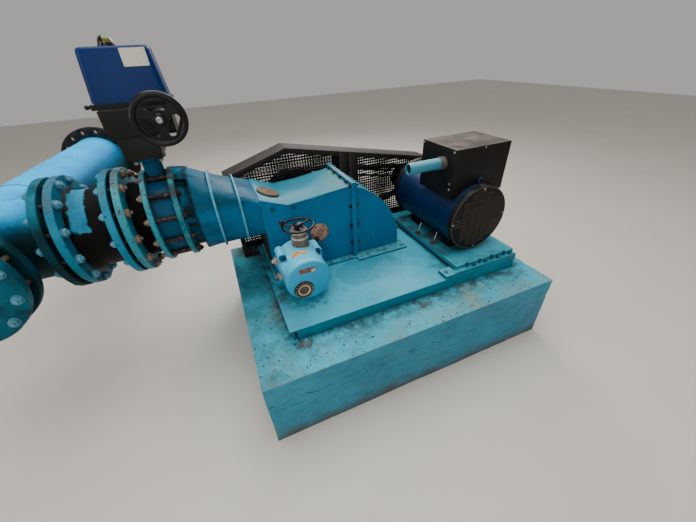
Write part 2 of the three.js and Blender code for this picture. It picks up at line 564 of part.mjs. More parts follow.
const knobProfile = [[0, 0], [6, 0], [8, 16], [13, 30], [13, 46], [8, 54], [0, 54]];
const knobCentre = [VANE_WHEEL.x - VANE_WHEEL.radius + VANE_WHEEL.rim, VANE_WHEEL.y, VANE_WHEEL.z];
add("vane_handwheel", join(handwheel("z", VANE_WHEEL, 3), turned("z", knobCentre, knobProfile, 16)), BLACK);

export default model;
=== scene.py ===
import json
import math
import random

import bmesh
import bpy
from mathutils import Euler, Matrix, Vector, noise


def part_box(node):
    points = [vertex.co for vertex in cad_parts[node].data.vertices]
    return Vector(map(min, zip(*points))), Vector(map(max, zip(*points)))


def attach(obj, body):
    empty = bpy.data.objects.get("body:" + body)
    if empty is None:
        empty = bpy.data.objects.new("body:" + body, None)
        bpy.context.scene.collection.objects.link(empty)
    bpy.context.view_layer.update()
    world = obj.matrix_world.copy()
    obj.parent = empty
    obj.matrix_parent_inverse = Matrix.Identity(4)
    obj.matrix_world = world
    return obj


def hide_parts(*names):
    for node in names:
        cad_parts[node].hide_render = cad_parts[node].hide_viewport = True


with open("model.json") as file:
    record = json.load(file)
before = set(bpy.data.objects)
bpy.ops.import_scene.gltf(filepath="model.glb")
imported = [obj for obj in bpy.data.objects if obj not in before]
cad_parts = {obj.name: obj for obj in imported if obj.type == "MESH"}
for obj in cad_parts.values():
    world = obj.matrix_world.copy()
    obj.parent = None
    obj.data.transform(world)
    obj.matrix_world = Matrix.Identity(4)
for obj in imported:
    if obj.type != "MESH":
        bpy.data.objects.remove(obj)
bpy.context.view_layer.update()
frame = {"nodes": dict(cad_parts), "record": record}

bl_info = {
    "name": "Cross-flow turbine set",
    "version": (1, 0, 0),
    "blender": (4, 5, 0),
    "location": "View3D > Sidebar > Turbine",
    "description": "Finishes the turbine, its pipework, generator, belt guard and plinth",
    "category": "Object",
}

# Camera as the photograph was taken, worked out from the plinth and the pipe flanges
PHOTO_WIDTH = 696
FOCAL_PIXELS = 307.84
SENSOR = 36.0
EYE = Vector((-0.8585, -1.6422, 1.760))
YAW, PITCH, ROLL = (math.radians(a) for a in (21.70, 34.61, 2.979))

# Header pipe's own frame: +Z runs along the pipe, away from the viewer
HEADER_TURN = math.radians(6.7)
HEADER_PIVOT = Vector((-1.974, 0.250, 1.025))
HEADER = (Matrix.Translation(HEADER_PIVOT) @ Matrix.Rotation(-HEADER_TURN, 4, "Z")
          @ Matrix.Rotation(-math.pi / 2, 4, "X"))
PIPE_RADIUS = 0.203
PIPE_WALL = 0.008
FLANGE_BOLTS = 12
FLANGE_RADIUS = 0.285
FLANGE_THICKNESS = 0.036
HEADER_BOLT_CIRCLE = 0.252
HEADER_FIRST_BOLT = 12
FAR_FLANGE_HOLES = 16
BELT_STRANDS = 5
FULL_CIRCLE = 96


def srgb(red, green, blue):
    """Screen colour of 0 to 255 as Blender's linear colour."""
    def linear(value):
        share = value / 255
        return share / 12.92 if share <= 0.04045 else ((share + 0.055) / 1.055) ** 2.4
    return tuple(linear(v) for v in (red, green, blue))


def colour_property(label, description, default):
    return bpy.props.FloatVectorProperty(
        name=label, description=description, subtype="COLOR", size=3, min=0, max=1, default=default)


def length_property(label, description, default):
    return bpy.props.FloatProperty(name=label, description=description, default=default, unit="LENGTH")


class TurbinePaints(bpy.types.PropertyGroup):
    """Colours of the coats and of the grime on them; the grime colour is also laid as painted shade in
    hollows.
    """
    teal: colour_property("Teal", "Enamel of the casing and the reducer", srgb(0, 104, 148))
    deep_blue: colour_property("Deep blue", "Gloss paint of the valve's motor", srgb(0, 38, 92))
    navy: colour_property("Navy", "Paint of the generator barrel", srgb(0, 30, 66))
    black: colour_property("Black", "Satin black of the boxes and covers", srgb(8, 8, 8))
    bitumen: colour_property("Bitumen", "Black coat of the cast spool", srgb(2, 2, 3))
    rust: colour_property("Rust", "Bare steel gone brown", srgb(92, 62, 44))
    # Grime colour, also laid as painted shade in hollows
    dirt_and_shade: colour_property("Dirt", "Dried mud and oil", srgb(46, 42, 34))
    dust: colour_property("Dust", "Pale dust on what faces up", srgb(150, 146, 134))
    plinth: colour_property("Plinth paint", "Light blue paint on the concrete", srgb(58, 166, 188))
    concrete: colour_property("Concrete", "Bare concrete under the plinth's paint", srgb(132, 144, 126))


class TurbineSizes(bpy.types.PropertyGroup):
    """Sizes of the small things."""
    edge: length_property("Edge radius", "Rounding of plate edges", 0.0018)
    flange_bolt: length_property("Flange bolt", "Thread diameter of the pipe flange bolts", 0.020)
    casing_bolt: length_property("Casing bolt", "Thread diameter of the casing bolts", 0.012)
    mesh_pitch: length_property("Guard hole pitch", "Spacing of the guard's square holes", 0.020)
    mesh_hole: bpy.props.FloatProperty(
        name="Guard hole share", description="Hole's width as a share of the pitch", default=0.66, min=0.1,
        max=0.9)
    louvre_pitch: length_property("Louvre pitch", "Spacing of the rows of louvres", 0.021)


class Nodes:
    """Adds nodes to a tree and wires them."""

    def __init__(self, tree):
        self.tree = tree

    def add(self, kind, wires=(), **settings):
        made = self.tree.nodes.new(kind)
        for key, value in settings.items():
            setattr(made, key, value)
        for key, value in dict(wires).items():
            if isinstance(value, bpy.types.NodeSocket):
                self.tree.links.new(value, made.inputs[key])
            else:
                made.inputs[key].default_value = value
        return made

    def math(self, operation, *values):
        return self.add("ShaderNodeMath", dict(enumerate(values)), operation=operation).outputs[0]


class Finish(Nodes):
    """A material on Object coordinates, built up coat by coat."""

    def __init__(self, name, roughness, metallic=0.0, gloss=0.0, shine=0.5):
        self.material = bpy.data.materials.new(name)
        self.material.use_nodes = True
        super().__init__(self.material.node_tree)
        self.tree.nodes.clear()
        self.place = self.add("ShaderNodeTexCoord").outputs["Object"]
        self.surface = self.add("ShaderNodeBsdfPrincipled",
                                {"Metallic": metallic, "Specular IOR Level": shine})
        if gloss:
            self.surface.inputs["Coat Weight"].default_value = gloss
            self.surface.inputs["Coat Roughness"].default_value = 0.12
        output = self.add("ShaderNodeOutputMaterial")
        self.tree.links.new(self.surface.outputs[0], output.inputs[0])
        self.rough = roughness
        self.colour = None

    def noise(self, scale, detail=4, stretch=(1, 1, 1), shift=(0, 0, 0)):
        moved = self.add("ShaderNodeMapping", {"Vector": self.place, "Location": shift, "Scale": stretch})
        wires = {"Vector": moved.outputs[0], "Scale": scale, "Detail": detail}
        return self.add("ShaderNodeTexNoise", wires).outputs[0]

    def between(self, value, low, high, start=0.0, end=1.0):
        """From start to end as the value goes from low to high, and level outside."""
        wires = {"Value": value, "From Min": low, "From Max": high, "To Min": start, "To Max": end}
        return self.add("ShaderNodeMapRange", wires).outputs[0]

    def patchy(self, scale, detail, low, high, start=0.0, end=1.0, shift=(0, 0, 0), stretch=(1, 1, 1)):
        """Noise of that scale and detail, cut to a band."""
        return self.between(self.noise(scale, detail, stretch, shift), low, high, start, end)

    def mix(self, factor, first, second):
        def opaque(colour):
            return colour if isinstance(colour, bpy.types.NodeSocket) else (*colour, 1)
        wires = {0: factor, 6: opaque(first), 7: opaque(second)}
        return self.add("ShaderNodeMix", wires, data_type="RGBA").outputs[2]

    def over(self, mask, colour, roughness=None):
        """Lays a colour over what is there, where the mask, or the product of several, is 1."""
        if isinstance(mask, tuple):
            mask = self.both(*mask)
        self.colour = self.mix(mask, self.colour, colour)
        if roughness is not None:
            self.rough = self.between(mask, 0, 1, self.rough, roughness)

    def both(self, *masks):
        product = masks[0]
        for mask in masks[1:]:
            product = self.math("MULTIPLY", product, mask)
        return product

    def axes(self):
        return self.add("ShaderNodeSeparateXYZ", {0: self.place}).outputs

    def blob(self, centre, reach, soft=0.03, wobble=0.5):
        """A patch with a ragged outline about a point."""
        away = self.add("ShaderNodeVectorMath", {0: self.place, 1: centre},
                        operation="DISTANCE").outputs["Value"]
        ragged = self.math("ADD", away, self.between(self.noise(11, 6, shift=centre), 0.3, 0.7,
                                                     -wobble * reach, wobble * reach))
        return self.between(ragged, reach, reach - soft)

    def facing_up(self, low=0.35, high=0.9):
        normal = self.add("ShaderNodeNewGeometry").outputs["Normal"]
        height = self.add("ShaderNodeSeparateXYZ", {0: normal}).outputs[2]
        return self.between(height, low, high)

    def edges(self, radius, low=0.02, high=0.2):
        normal = self.add("ShaderNodeNewGeometry").outputs["Normal"]
        rounded = self.add("ShaderNodeBevel", {"Radius": radius}, samples=4).outputs[0]
        match = self.add("ShaderNodeVectorMath", {0: normal, 1: rounded},
                         operation="DOT_PRODUCT").outputs["Value"]
        return self.between(match, 1 - low, 1 - high)

    # Ambient-occlusion mask of where little light reaches: it lays painted shade in hollows
    def hollows(self, distance, low=0.75, high=0.2):
        shade = self.add("ShaderNodeAmbientOcclusion", {"Distance": distance}, samples=6).outputs["AO"]
        return self.between(shade, low, high)

    def done(self, bump=0.2, grain=180.0, depth=0.0006):
        self.tree.links.new(self.colour, self.surface.inputs["Base Color"])
        if isinstance(self.rough, bpy.types.NodeSocket):
            self.tree.links.new(self.rough, self.surface.inputs["Roughness"])
        else:
            self.surface.inputs["Roughness"].default_value = self.rough
        wires = {"Strength": bump, "Distance": depth, "Height": self.noise(grain, 5)}
        normal = self.add("ShaderNodeBump", wires).outputs[0]
        self.tree.links.new(normal, self.surface.inputs["Normal"])
        return self.material


def times(colour, share):
    """The colour with each channel multiplied by the share."""
    return [c * share for c in colour]


def coated(name, colour, roughness=0.4, gloss=0.0, top=None, dusty=0.35, grime_and_shade=0.75, chips=0.5, edge=None,
           shine=0.28):
    """Old paint: uneven colour, a top colour where it faces up as painted top light, dust, grime and painted
    shade in corners, worn edges with a painted edge highlight where an edge colour is given.
    """
    look = bpy.context.scene.turbine_paints
    made = Finish(name, roughness, 0.0, gloss, shine)
    brighter = [min(1.0, c * 1.45 + 0.008) for c in colour]
    made.colour = made.mix(made.patchy(2.6, 5, 0.36, 0.66), times(colour, 0.78), colour)
    # Top colour where it faces up, in patches: painted top light, partly dust
    if top:
        cloud = made.patchy(5.0, 6, 0.3, 0.6, 0.72, 1.0, shift=(2, 8, 3))
        made.over((made.facing_up(0.45, 0.9), cloud), top)
    scuffs = made.patchy(24, 7, 0.60, 0.70, 0, 0.3, shift=(0, 3, 2), stretch=(1, 1, 0.5))
    made.over(scuffs, brighter, roughness + 0.12)
    patches = made.patchy(13, 7, 0.46, 0.74, shift=(3, 1, 0))
    made.over((made.facing_up(0.5, 1.0), patches, dusty), look.dust, 0.8)
    stain = made.patchy(9, 8, 0.42, 0.64, 0.15, 1, shift=(7, 2, 5), stretch=(1, 1, 0.5))
    # Grime in hollows from ambient occlusion: grime and painted shade in corners
    made.over((made.hollows(0.05), stain, grime_and_shade), look.dirt_and_shade, 0.85)
    specks = made.patchy(100, 3, 0.67, 0.73, 0, 0.75 * min(chips, 1), shift=(1, 9, 4))
    made.over(specks, times(look.dirt_and_shade, 0.5), 0.8)
    rim = made.edges(0.004)
    # Edge colour: a pale painted edge highlight on most coats, a worn brown on the blue nuts
    if edge:
        made.over((rim, made.patchy(20, 5, 0.3, 0.5, 0, 0.8, shift=(3, 3, 1))), edge)
    bare = made.patchy(45, 5, 0.52, 0.60, shift=(5, 5, 1))
    made.over((rim, bare, chips), look.rust, 0.75)
    return made


def paint(*values, **named):
    return coated(*values, **named).done(0.25, 160, 0.0005)


def deck_paint(name):
    """Deck enamel: pale where it faces up as painted top light, with an oily patch, grime and painted shade
    along the casing, painted shadow with grime on the tray, a painted highlight and fine grit.
    """
    look = bpy.context.scene.turbine_paints
    made = coated(name, srgb(24, 124, 146), 0.46, 0.0, srgb(58, 164, 188), 0.05, 0.8, 0.5, srgb(90, 170, 184),
                  0.16)
    up = made.facing_up(0.6, 0.95)
    x, y, z = made.axes()
    fine = made.patchy(60, 8, 0.54, 0.70, 0, 0.32, shift=(6, 1, 2))
    made.over((up, fine, made.patchy(5, 6, 0.46, 0.62, shift=(1, 1, 9))), look.dirt_and_shade, 0.7)
    # Darker patches on the tray under the generator: painted shadow with grime
    tray = made.both(up, made.between(z, 0.546, 0.548), made.between(x, 0.84, 0.66),
                     made.between(y, -0.36, -0.26))
    made.over((tray, made.patchy(9, 8, 0.36, 0.60, 0.45, 0.88, shift=(2, 6, 0))), times(look.dirt_and_shade, 0.8), 0.7)
    rail = made.both(made.between(z, 0.5455, 0.5465), made.between(y, -0.385, -0.395),
                     made.between(x, 0.30, 0.36))
    made.over((rail, up, made.patchy(20, 8, 0.42, 0.66, 0, 0.5, shift=(5, 2, 8))), srgb(38, 62, 62), 0.7)
    aside = made.math("MAXIMUM", made.math("SUBTRACT", made.math("ABSOLUTE", made.math("ADD", x, 0.110)),
                                           0.107), 0.0)
    along = made.math("ADD", y, 0.150)
    away = made.math("SQRT", made.math("ADD", made.math("MULTIPLY", aside, aside),
                                       made.math("MULTIPLY", along, along)))
    wavy = made.math("ADD", away, made.patchy(9, 4, 0.3, 0.7, -0.010, 0.010, shift=(2, 2, 2)))
    level = made.both(up, made.between(z, 0.545, 0.543))
    made.over((level, made.between(wavy, 0.128, 0.119), 0.38), srgb(38, 118, 142), 0.2)
    made.over((level, made.between(made.math("ABSOLUTE", made.math("SUBTRACT", wavy, 0.125)), 0.006, 0.001),
               0.16), srgb(34, 78, 90), 0.5)
    corner = made.both(level, made.between(x, -0.42, -0.70), made.between(y, -0.24, -0.40),
                       made.patchy(5, 6, 0.30, 0.55, 0.5, 1, shift=(8, 8, 2)))
    made.over((corner, 0.62), srgb(16, 124, 152), 0.42)
    # Paler patch at the front middle: a painted highlight
    painted_sheen = made.both(level, made.blob((0.0, -0.37, 0.543), 0.30, 0.22, 0.3))
    made.over((painted_sheen, 0.36), srgb(112, 190, 204), 0.4)
    shaded = made.both(level, made.between(x, -0.62, -0.69), made.between(y, -0.34, -0.22))
    made.over((shaded, made.patchy(12, 8, 0.36, 0.60, 0.35, 0.85, shift=(2, 6, 0))), srgb(22, 50, 54), 0.6)
    for spot, reach, share in (((-0.62, -0.24, 0.54), 0.13, 0.5), ((-0.52, -0.16, 0.54), 0.15, 0.6),
                               ((0.36, -0.26, 0.54), 0.13, 0.45), ((0.10, 0.02, 0.54), 0.07, 0.35),
                               ((0.74, -0.44, 0.54), 0.08, 0.6)):
        blot = made.both(made.blob(spot, reach, 0.07, 0.7),
                         made.patchy(30, 8, 0.40, 0.58, 0.15, 1, shift=spot))
        made.over((level, blot, share), srgb(48, 62, 56), 0.6)
    return made.done(0.25, 150, 0.0005)


def casing_paint(name):
    """Casing enamel: pale feet, a roof paled by painted top light, painted shadow under the reducer, and
    grime along the joint.
    """
    look = bpy.context.scene.turbine_paints
    made = coated(name, look.teal, 0.4, 0.03, srgb(34, 128, 146), 0.12, 0.7, 0.4, srgb(60, 140, 160), 0.18)
    x, _, z = made.axes()
    foot = made.both(made.between(z, 0.556, 0.554), made.facing_up(0.5, 0.9))
    made.over((foot, 0.9), srgb(70, 158, 172), 0.5)
    made.over((foot, made.patchy(26, 7, 0.48, 0.64, 0, 0.5, shift=(5, 1, 1))), srgb(52, 84, 84), 0.7)
    # Near-black on the left wall below the reducer: painted shadow
    normal = made.add("ShaderNodeNewGeometry").outputs["Normal"]
    left = made.between(made.add("ShaderNodeSeparateXYZ", {0: normal}).outputs[0], -0.6, -0.9)
    made.over((left, made.between(x, -0.66, -0.70), made.between(z, 0.98, 0.84), 0.95), srgb(2, 12, 16), 0.8)
    roof = made.both(made.facing_up(0.5, 0.9), made.between(z, 0.9, 0.92))
    made.over((roof, made.between(x, -0.10, -0.16), made.between(x, -0.30, -0.18),
               made.patchy(24, 7, 0.40, 0.58, 0, 0.6, shift=(3, 1, 1))), srgb(120, 128, 116), 0.8)
    return made.done(0.25, 160, 0.0005)


def header_paint(name):
    """Tee and pipe: sky blue on top as painted top light, turquoise on the flanges, darker underneath as
    painted shade with grime.
    """
    made = coated(name, srgb(0, 112, 166), 0.45, 0.0, srgb(0, 188, 255), 0.02, 0.85, 0.5, None, 0.10)
    offset = made.add("ShaderNodeVectorMath", {0: made.place, 1: HEADER_PIVOT},
                      operation="SUBTRACT").outputs[0]
    along = made.add("ShaderNodeVectorMath", {0: offset, 1: HEADER.to_3x3() @ Vector((0, 0, 1))},
                     operation="DOT_PRODUCT").outputs["Value"]
    x, y, z = made.axes()
    branch = made.both(made.between(x, -1.696, -1.690), made.between(y, 0.56, 0.54))
    flanges = made.math("MAXIMUM", made.between(along, -0.264, -0.270), branch)
    patchy = made.patchy(7, 6, 0.36, 0.60, shift=(4, 4, 4))
    made.over(flanges, made.mix(patchy, srgb(8, 66, 82), srgb(28, 122, 142)), 0.45)
    # Darker underneath: painted shade with grime
    under = made.math("SUBTRACT", 1.0, made.facing_up(-0.20, 0.70))
    made.over((under, made.patchy(8, 7, 0.32, 0.58, 0.55, 0.95, shift=(2, 0, 6))), srgb(8, 56, 68), 0.6)
    # Darker low on the near end of the pipe: painted shade with grime
    height = made.math("ADD", z, made.between(along, 0.2, 0.8, 0, 0.13))
    made.over((made.between(height, 1.235, 1.150), made.patchy(6, 8, 0.34, 0.54, 0.7, 1.0, shift=(9, 2, 6))),
              srgb(8, 44, 50), 0.6)
    made.over(made.patchy(58, 5, 0.62, 0.70, 0, 0.5, shift=(3, 9, 1)), srgb(14, 34, 40), 0.8)
    return made.done(0.3, 140, 0.0006)


def blind_paint(name):
    """Blind flange: turquoise with dark stains about its bolts."""
    made = coated(name, srgb(4, 88, 108), 0.48, 0.0, None, 0.05, 0.9, 1.0, srgb(40, 136, 156), 0.12)
    stains = made.patchy(7, 8, 0.46, 0.62, 0, 0.8, shift=(5, 5, 1))
    made.over(stains, srgb(6, 34, 40), 0.7)
    return made.done(0.3, 140, 0.0006)


def reducer_paint(name):
    """Reducer: deep teal skin, pale ribs, a painted highlight on its upper edge and other edges, painted
    shade on its upper band and underneath, and a worn turquoise flange.
    """
    look = bpy.context.scene.turbine_paints
    made = coated(name, srgb(0, 100, 140), 0.46, 0.0, srgb(16, 118, 152), 0.05, 0.75, 0.6,
                  srgb(110, 178, 190), 0.12)
    x, _, z = made.axes()
    ribs = made.math("MAXIMUM", *(made.both(made.between(x, a - 0.002, a), made.between(x, b + 0.002, b))
                                  for a, b in ((-0.9392, -0.9280), (-0.8116, -0.8004))))
    rubbed = made.patchy(30, 6, 0.35, 0.55, 0.45, 0.95, shift=(1, 1, 1))
    made.over((ribs, rubbed), srgb(84, 160, 186), 0.5)
    # Darker band high on the skin: painted shade
    upper = made.both(made.between(z, 1.05, 1.12), made.between(z, 1.26, 1.21), made.between(x, -1.08, -1.06))
    made.over((upper, made.math("SUBTRACT", 1.0, ribs), 0.6), srgb(0, 50, 72), 0.4)
    streaks = made.patchy(15, 8, 0.50, 0.66, 0, 0.55, shift=(8, 3, 3), stretch=(0.35, 1, 1))
    made.over((streaks, made.math("SUBTRACT", 1.0, ribs)), srgb(10, 62, 76), 0.6)
    spots = made.patchy(48, 7, 0.62, 0.70, 0, 0.6, shift=(3, 9, 5), stretch=(0.5, 1, 1))
    made.over(spots, srgb(70, 60, 50), 0.8)
    # Darker underneath: painted shade
    low = made.between(z, 0.94, 0.80)
    made.over((low, made.patchy(10, 7, 0.35, 0.6, 0.55, 0.95, shift=(5, 0, 6))), srgb(4, 40, 48), 0.7)
    seam = made.both(made.between(x, -1.058, -1.044), made.between(x, -1.022, -1.034))
    made.over((seam, made.patchy(30, 7, 0.34, 0.56, 0.5, 0.95, shift=(3, 0, 2))), srgb(6, 30, 38), 0.7)
    neck = made.both(made.between(x, -1.096, -1.092), made.between(x, -1.040, -1.046))
    made.over((neck, made.patchy(16, 7, 0.42, 0.60, shift=(1, 5, 2))), srgb(14, 40, 44), 0.7)
    flange = made.between(x, -1.088, -1.092)
    patchy = made.patchy(9, 6, 0.36, 0.60, shift=(4, 4, 4))
    made.over(flange, made.mix(patchy, srgb(12, 76, 92), srgb(44, 138, 150)), 0.5)
    made.over((flange, made.facing_up(0.2, 0.9), made.patchy(26, 7, 0.42, 0.56)), srgb(70, 66, 64), 0.7)
    made.over((flange, made.patchy(60, 4, 0.58, 0.64)), times(look.dirt_and_shade, 0.5), 0.8)
    return made.done(0.3, 140, 0.0006)


def flange_paint(name):
    """Flange enamel: turquoise, dark specks, grey wear on what faces up."""
    look = bpy.context.scene.turbine_paints
    made = coated(name, srgb(28, 132, 150), 0.48, 0.0, srgb(60, 150, 162), 0.08, 0.9, 0.9)
    made.over((made.facing_up(0.3, 0.95), made.patchy(22, 7, 0.46, 0.58, 0, 0.8, shift=(2, 4, 4))),
              srgb(84, 84, 80), 0.7)
    made.over(made.patchy(64, 4, 0.60, 0.66, 0, 0.8, shift=(8, 2, 1)), times(look.dirt_and_shade, 0.5), 0.8)
    return made.done(0.3, 140, 0.0006)


def tar_coat(name):
    """Plain black bitumen."""
    look = bpy.context.scene.turbine_paints
    made = Finish(name, 0.6, 0.0, 0.0, 0.08)
    made.colour = made.mix(made.noise(8, 5), times(look.bitumen, 0.5), look.bitumen)
    made.over(made.patchy(40, 6, 0.64, 0.74, 0, 0.4), times(look.rust, 0.2), 0.8)
    return made.done(0.6, 90, 0.002)


def rusty(name, colour, roughness=0.8, metallic=0.35):
    """Bare steel or iron with rust of two browns."""
    made = Finish(name, roughness, metallic)
    made.colour = made.mix(made.patchy(14, 6, 0.35, 0.65), times(colour, 0.45), colour)
    made.over(made.patchy(60, 6, 0.52, 0.64, 0, 0.5, shift=(2, 2, 2)), srgb(120, 88, 62))
    made.over((made.hollows(0.02), 0.8), srgb(38, 28, 22))
    return made.done(0.6, 240, 0.0008)


def metal(name, colour, roughness=0.35, metallic=0.9, tarnish=0.5):
    """Machined metal with a grain and tarnish."""
    made = Finish(name, roughness, metallic)
    grain = made.patchy(300, 3, 0.3, 0.7, stretch=(1, 1, 0.08))
    made.colour = made.mix(grain, times(colour, 0.8), colour)
    made.over(made.patchy(22, 5, 0.5, 0.66, 0, tarnish), srgb(96, 70, 50), roughness + 0.3)
    made.over((made.hollows(0.015), 0.6), srgb(30, 26, 22))
    return made.done(0.15, 400, 0.0003)


def dull(name, colour, roughness=0.75, dusty=0.4):
    """Rubber or plastic with dust on it."""
    look = bpy.context.scene.turbine_paints
    made = Finish(name, roughness, 0.0, 0.0, 0.35)
    made.colour = made.mix(made.patchy(18, 5, 0.3, 0.7), times(colour, 0.7), colour)
    patches = made.patchy(12, 5, 0.4, 0.7, shift=(4, 4, 0))
    made.over((made.facing_up(0.2, 1.0), patches, dusty), look.dust)
    return made.done(0.3, 350, 0.0004)


def worn_patch(name, first, second, spoiled):
    """A weathered sticker with nothing left to read."""
    made = Finish(name, 0.6, 0.0, 0.0, 0.2)
    made.colour = made.mix(made.patchy(26, 5, 0.40, 0.58), first, second)
    made.over(made.patchy(38, 6, 0.53, 0.62, shift=(3, 3, 3)), srgb(216, 208, 190))
    made.over(made.patchy(24, 7, 0.54, 0.62, shift=(7, 1, 3)), spoiled)
    return made.done(0.3, 200, 0.0005)


def neck_paint(name):
    """Grey-brown iron neck with two pale bands."""
    made = Finish(name, 0.6, 0.15)
    made.colour = made.mix(made.patchy(20, 6, 0.35, 0.65), srgb(78, 68, 60), srgb(128, 116, 102))
    z = made.axes()[2]
    bands = made.math("MAXIMUM", made.both(made.between(z, 0.878, 0.880), made.between(z, 0.888, 0.886)),
                      made.both(made.between(z, 0.912, 0.914), made.between(z, 0.928, 0.926)))
    made.over((bands, made.patchy(40, 5, 0.35, 0.5, 0.5, 1)), srgb(186, 180, 166))
    made.over((made.hollows(0.02), 0.8), srgb(38, 28, 22))
    return made.done(0.5, 240, 0.0008)


def plinth_paint(name):
    """Painted concrete: speckled and worn on top and at the edges, a bluer copy of the coat on the sides as
    painted shade, grime and painted shade in hollows, muddy low down.
    """
    look = bpy.context.scene.turbine_paints
    coat = tuple(look.plinth)
    made = Finish(name, 0.6, 0.0, 0.0, 0.25)
    made.colour = made.mix(made.patchy(3, 6, 0.35, 0.65), times(coat, 0.74), coat)
    up = made.facing_up(0.5, 0.95)
    side = made.math("SUBTRACT", 1.0, up)
    x, y, z = made.axes()
    # A bluer copy of the coat on the sides: painted shade
    made.over((side, made.patchy(4, 6, 0.32, 0.58, 0.6, 1.0, shift=(3, 0, 8))), srgb(38, 124, 152))
    veil = made.patchy(5, 8, 0.36, 0.66, 0, 0.28, shift=(1, 4, 4))
    made.over((side, veil), srgb(66, 106, 118), 0.75)
    flecks = made.patchy(30, 7, 0.50, 0.66, 0, 0.24, shift=(4, 0, 2))
    made.over((flecks, made.between(up, 0, 1, 0.3, 1)), times(coat, 1.5))
    fine = made.patchy(40, 8, 0.42, 0.58, shift=(9, 2, 3))
    rubbed = made.patchy(3.4, 9, 0.52, 0.64, shift=(1, 2, 0))
    front = made.math("MAXIMUM", made.between(y, -0.50, -0.66),
                      made.both(made.between(x, -0.66, -0.86, 0, 0.55), made.between(y, 0.0, -0.5)))
    share = made.math("MAXIMUM", rubbed, made.math("MULTIPLY", front,
                                                   made.patchy(5.5, 8, 0.42, 0.60, 0, 0.7, shift=(6, 0, 1))))
    made.over((up, share, made.between(fine, 0, 1, 0.3, 0.85)), look.concrete, 0.85)
    stains = made.patchy(2.6, 9, 0.58, 0.70, 0, 0.5, shift=(6, 3, 0))
    made.over((up, stains, made.between(fine, 1, 0, 0.3, 1)), look.dirt_and_shade, 0.8)
    strip = made.both(up, made.between(x, -0.70, -0.78),
                      made.patchy(6, 8, 0.40, 0.60, 0.1, 0.6, shift=(7, 3, 1)))
    made.over(strip, srgb(30, 74, 80), 0.8)
    by_frame = made.both(up, made.between(y, -0.60, -0.50), made.between(x, -0.80, -0.74),
                         made.between(x, 0.93, 0.88))
    made.over((by_frame, made.patchy(17, 8, 0.42, 0.58, 0.1, 0.75, shift=(4, 4, 0))), look.dirt_and_shade, 0.8)
    for spot, reach in (((-0.67, -0.51, 0.46), 0.075), ((0.069, -0.525, 0.46), 0.07),
                        ((0.76, -0.52, 0.46), 0.06)):
        blot = made.both(made.blob(spot, reach, 0.05, 0.6),
                         made.patchy(34, 7, 0.38, 0.55, 0.2, 1, shift=spot))
        made.over((up, blot, 0.7), srgb(70, 60, 46), 0.85)
    rim = made.edges(0.016, 0.02, 0.22)
    made.over((rim, made.patchy(24, 7, 0.48, 0.60, shift=(8, 1, 1))), times(look.concrete, 0.6), 0.9)
    made.over((rim, made.patchy(15, 7, 0.56, 0.64, shift=(1, 6, 1))), look.concrete, 0.9)
    # Grime colour in hollows from ambient occlusion: grime and painted shade
    made.over((made.hollows(0.10, 0.7, 0.2), made.patchy(9, 6, 0.3, 0.5, 0.3, 0.9)), look.dirt_and_shade, 0.85)
    wavy = made.math("ADD", z, made.patchy(7, 6, 0.3, 0.7, -0.05, 0.05))
    made.over((side, made.between(wavy, 0.12, 0.0, 0, 0.65)), srgb(84, 68, 50), 0.9)
    streaks = made.patchy(22, 8, 0.52, 0.68, 0, 0.25, shift=(2, 5, 1), stretch=(0.5, 0.5, 1))
    made.over((side, streaks), srgb(30, 66, 76), 0.8)
    bend = made.patchy(9, 7, 0.3, 0.7, 0.285, 0.335, shift=(3, 3, 3))
    crack = made.math("ABSOLUTE", made.math("SUBTRACT", z, bend))
    broken = made.patchy(13, 5, 0.46, 0.52, shift=(7, 3, 3))
    made.over((side, made.between(crack, 0.0030, 0.001, 0, 0.75), broken, made.between(x, 0.42, 0.36)),
              srgb(20, 44, 50), 0.9)
    made.over((up, made.patchy(60, 4, 0.63, 0.68, 0, 0.85, shift=(2, 7, 7))), srgb(26, 34, 34), 0.9)
    made.over((side, made.patchy(70, 4, 0.67, 0.71, 0, 0.7, shift=(2, 7, 7))), srgb(26, 44, 48), 0.9)
    return made.done(0.6, 60, 0.003)


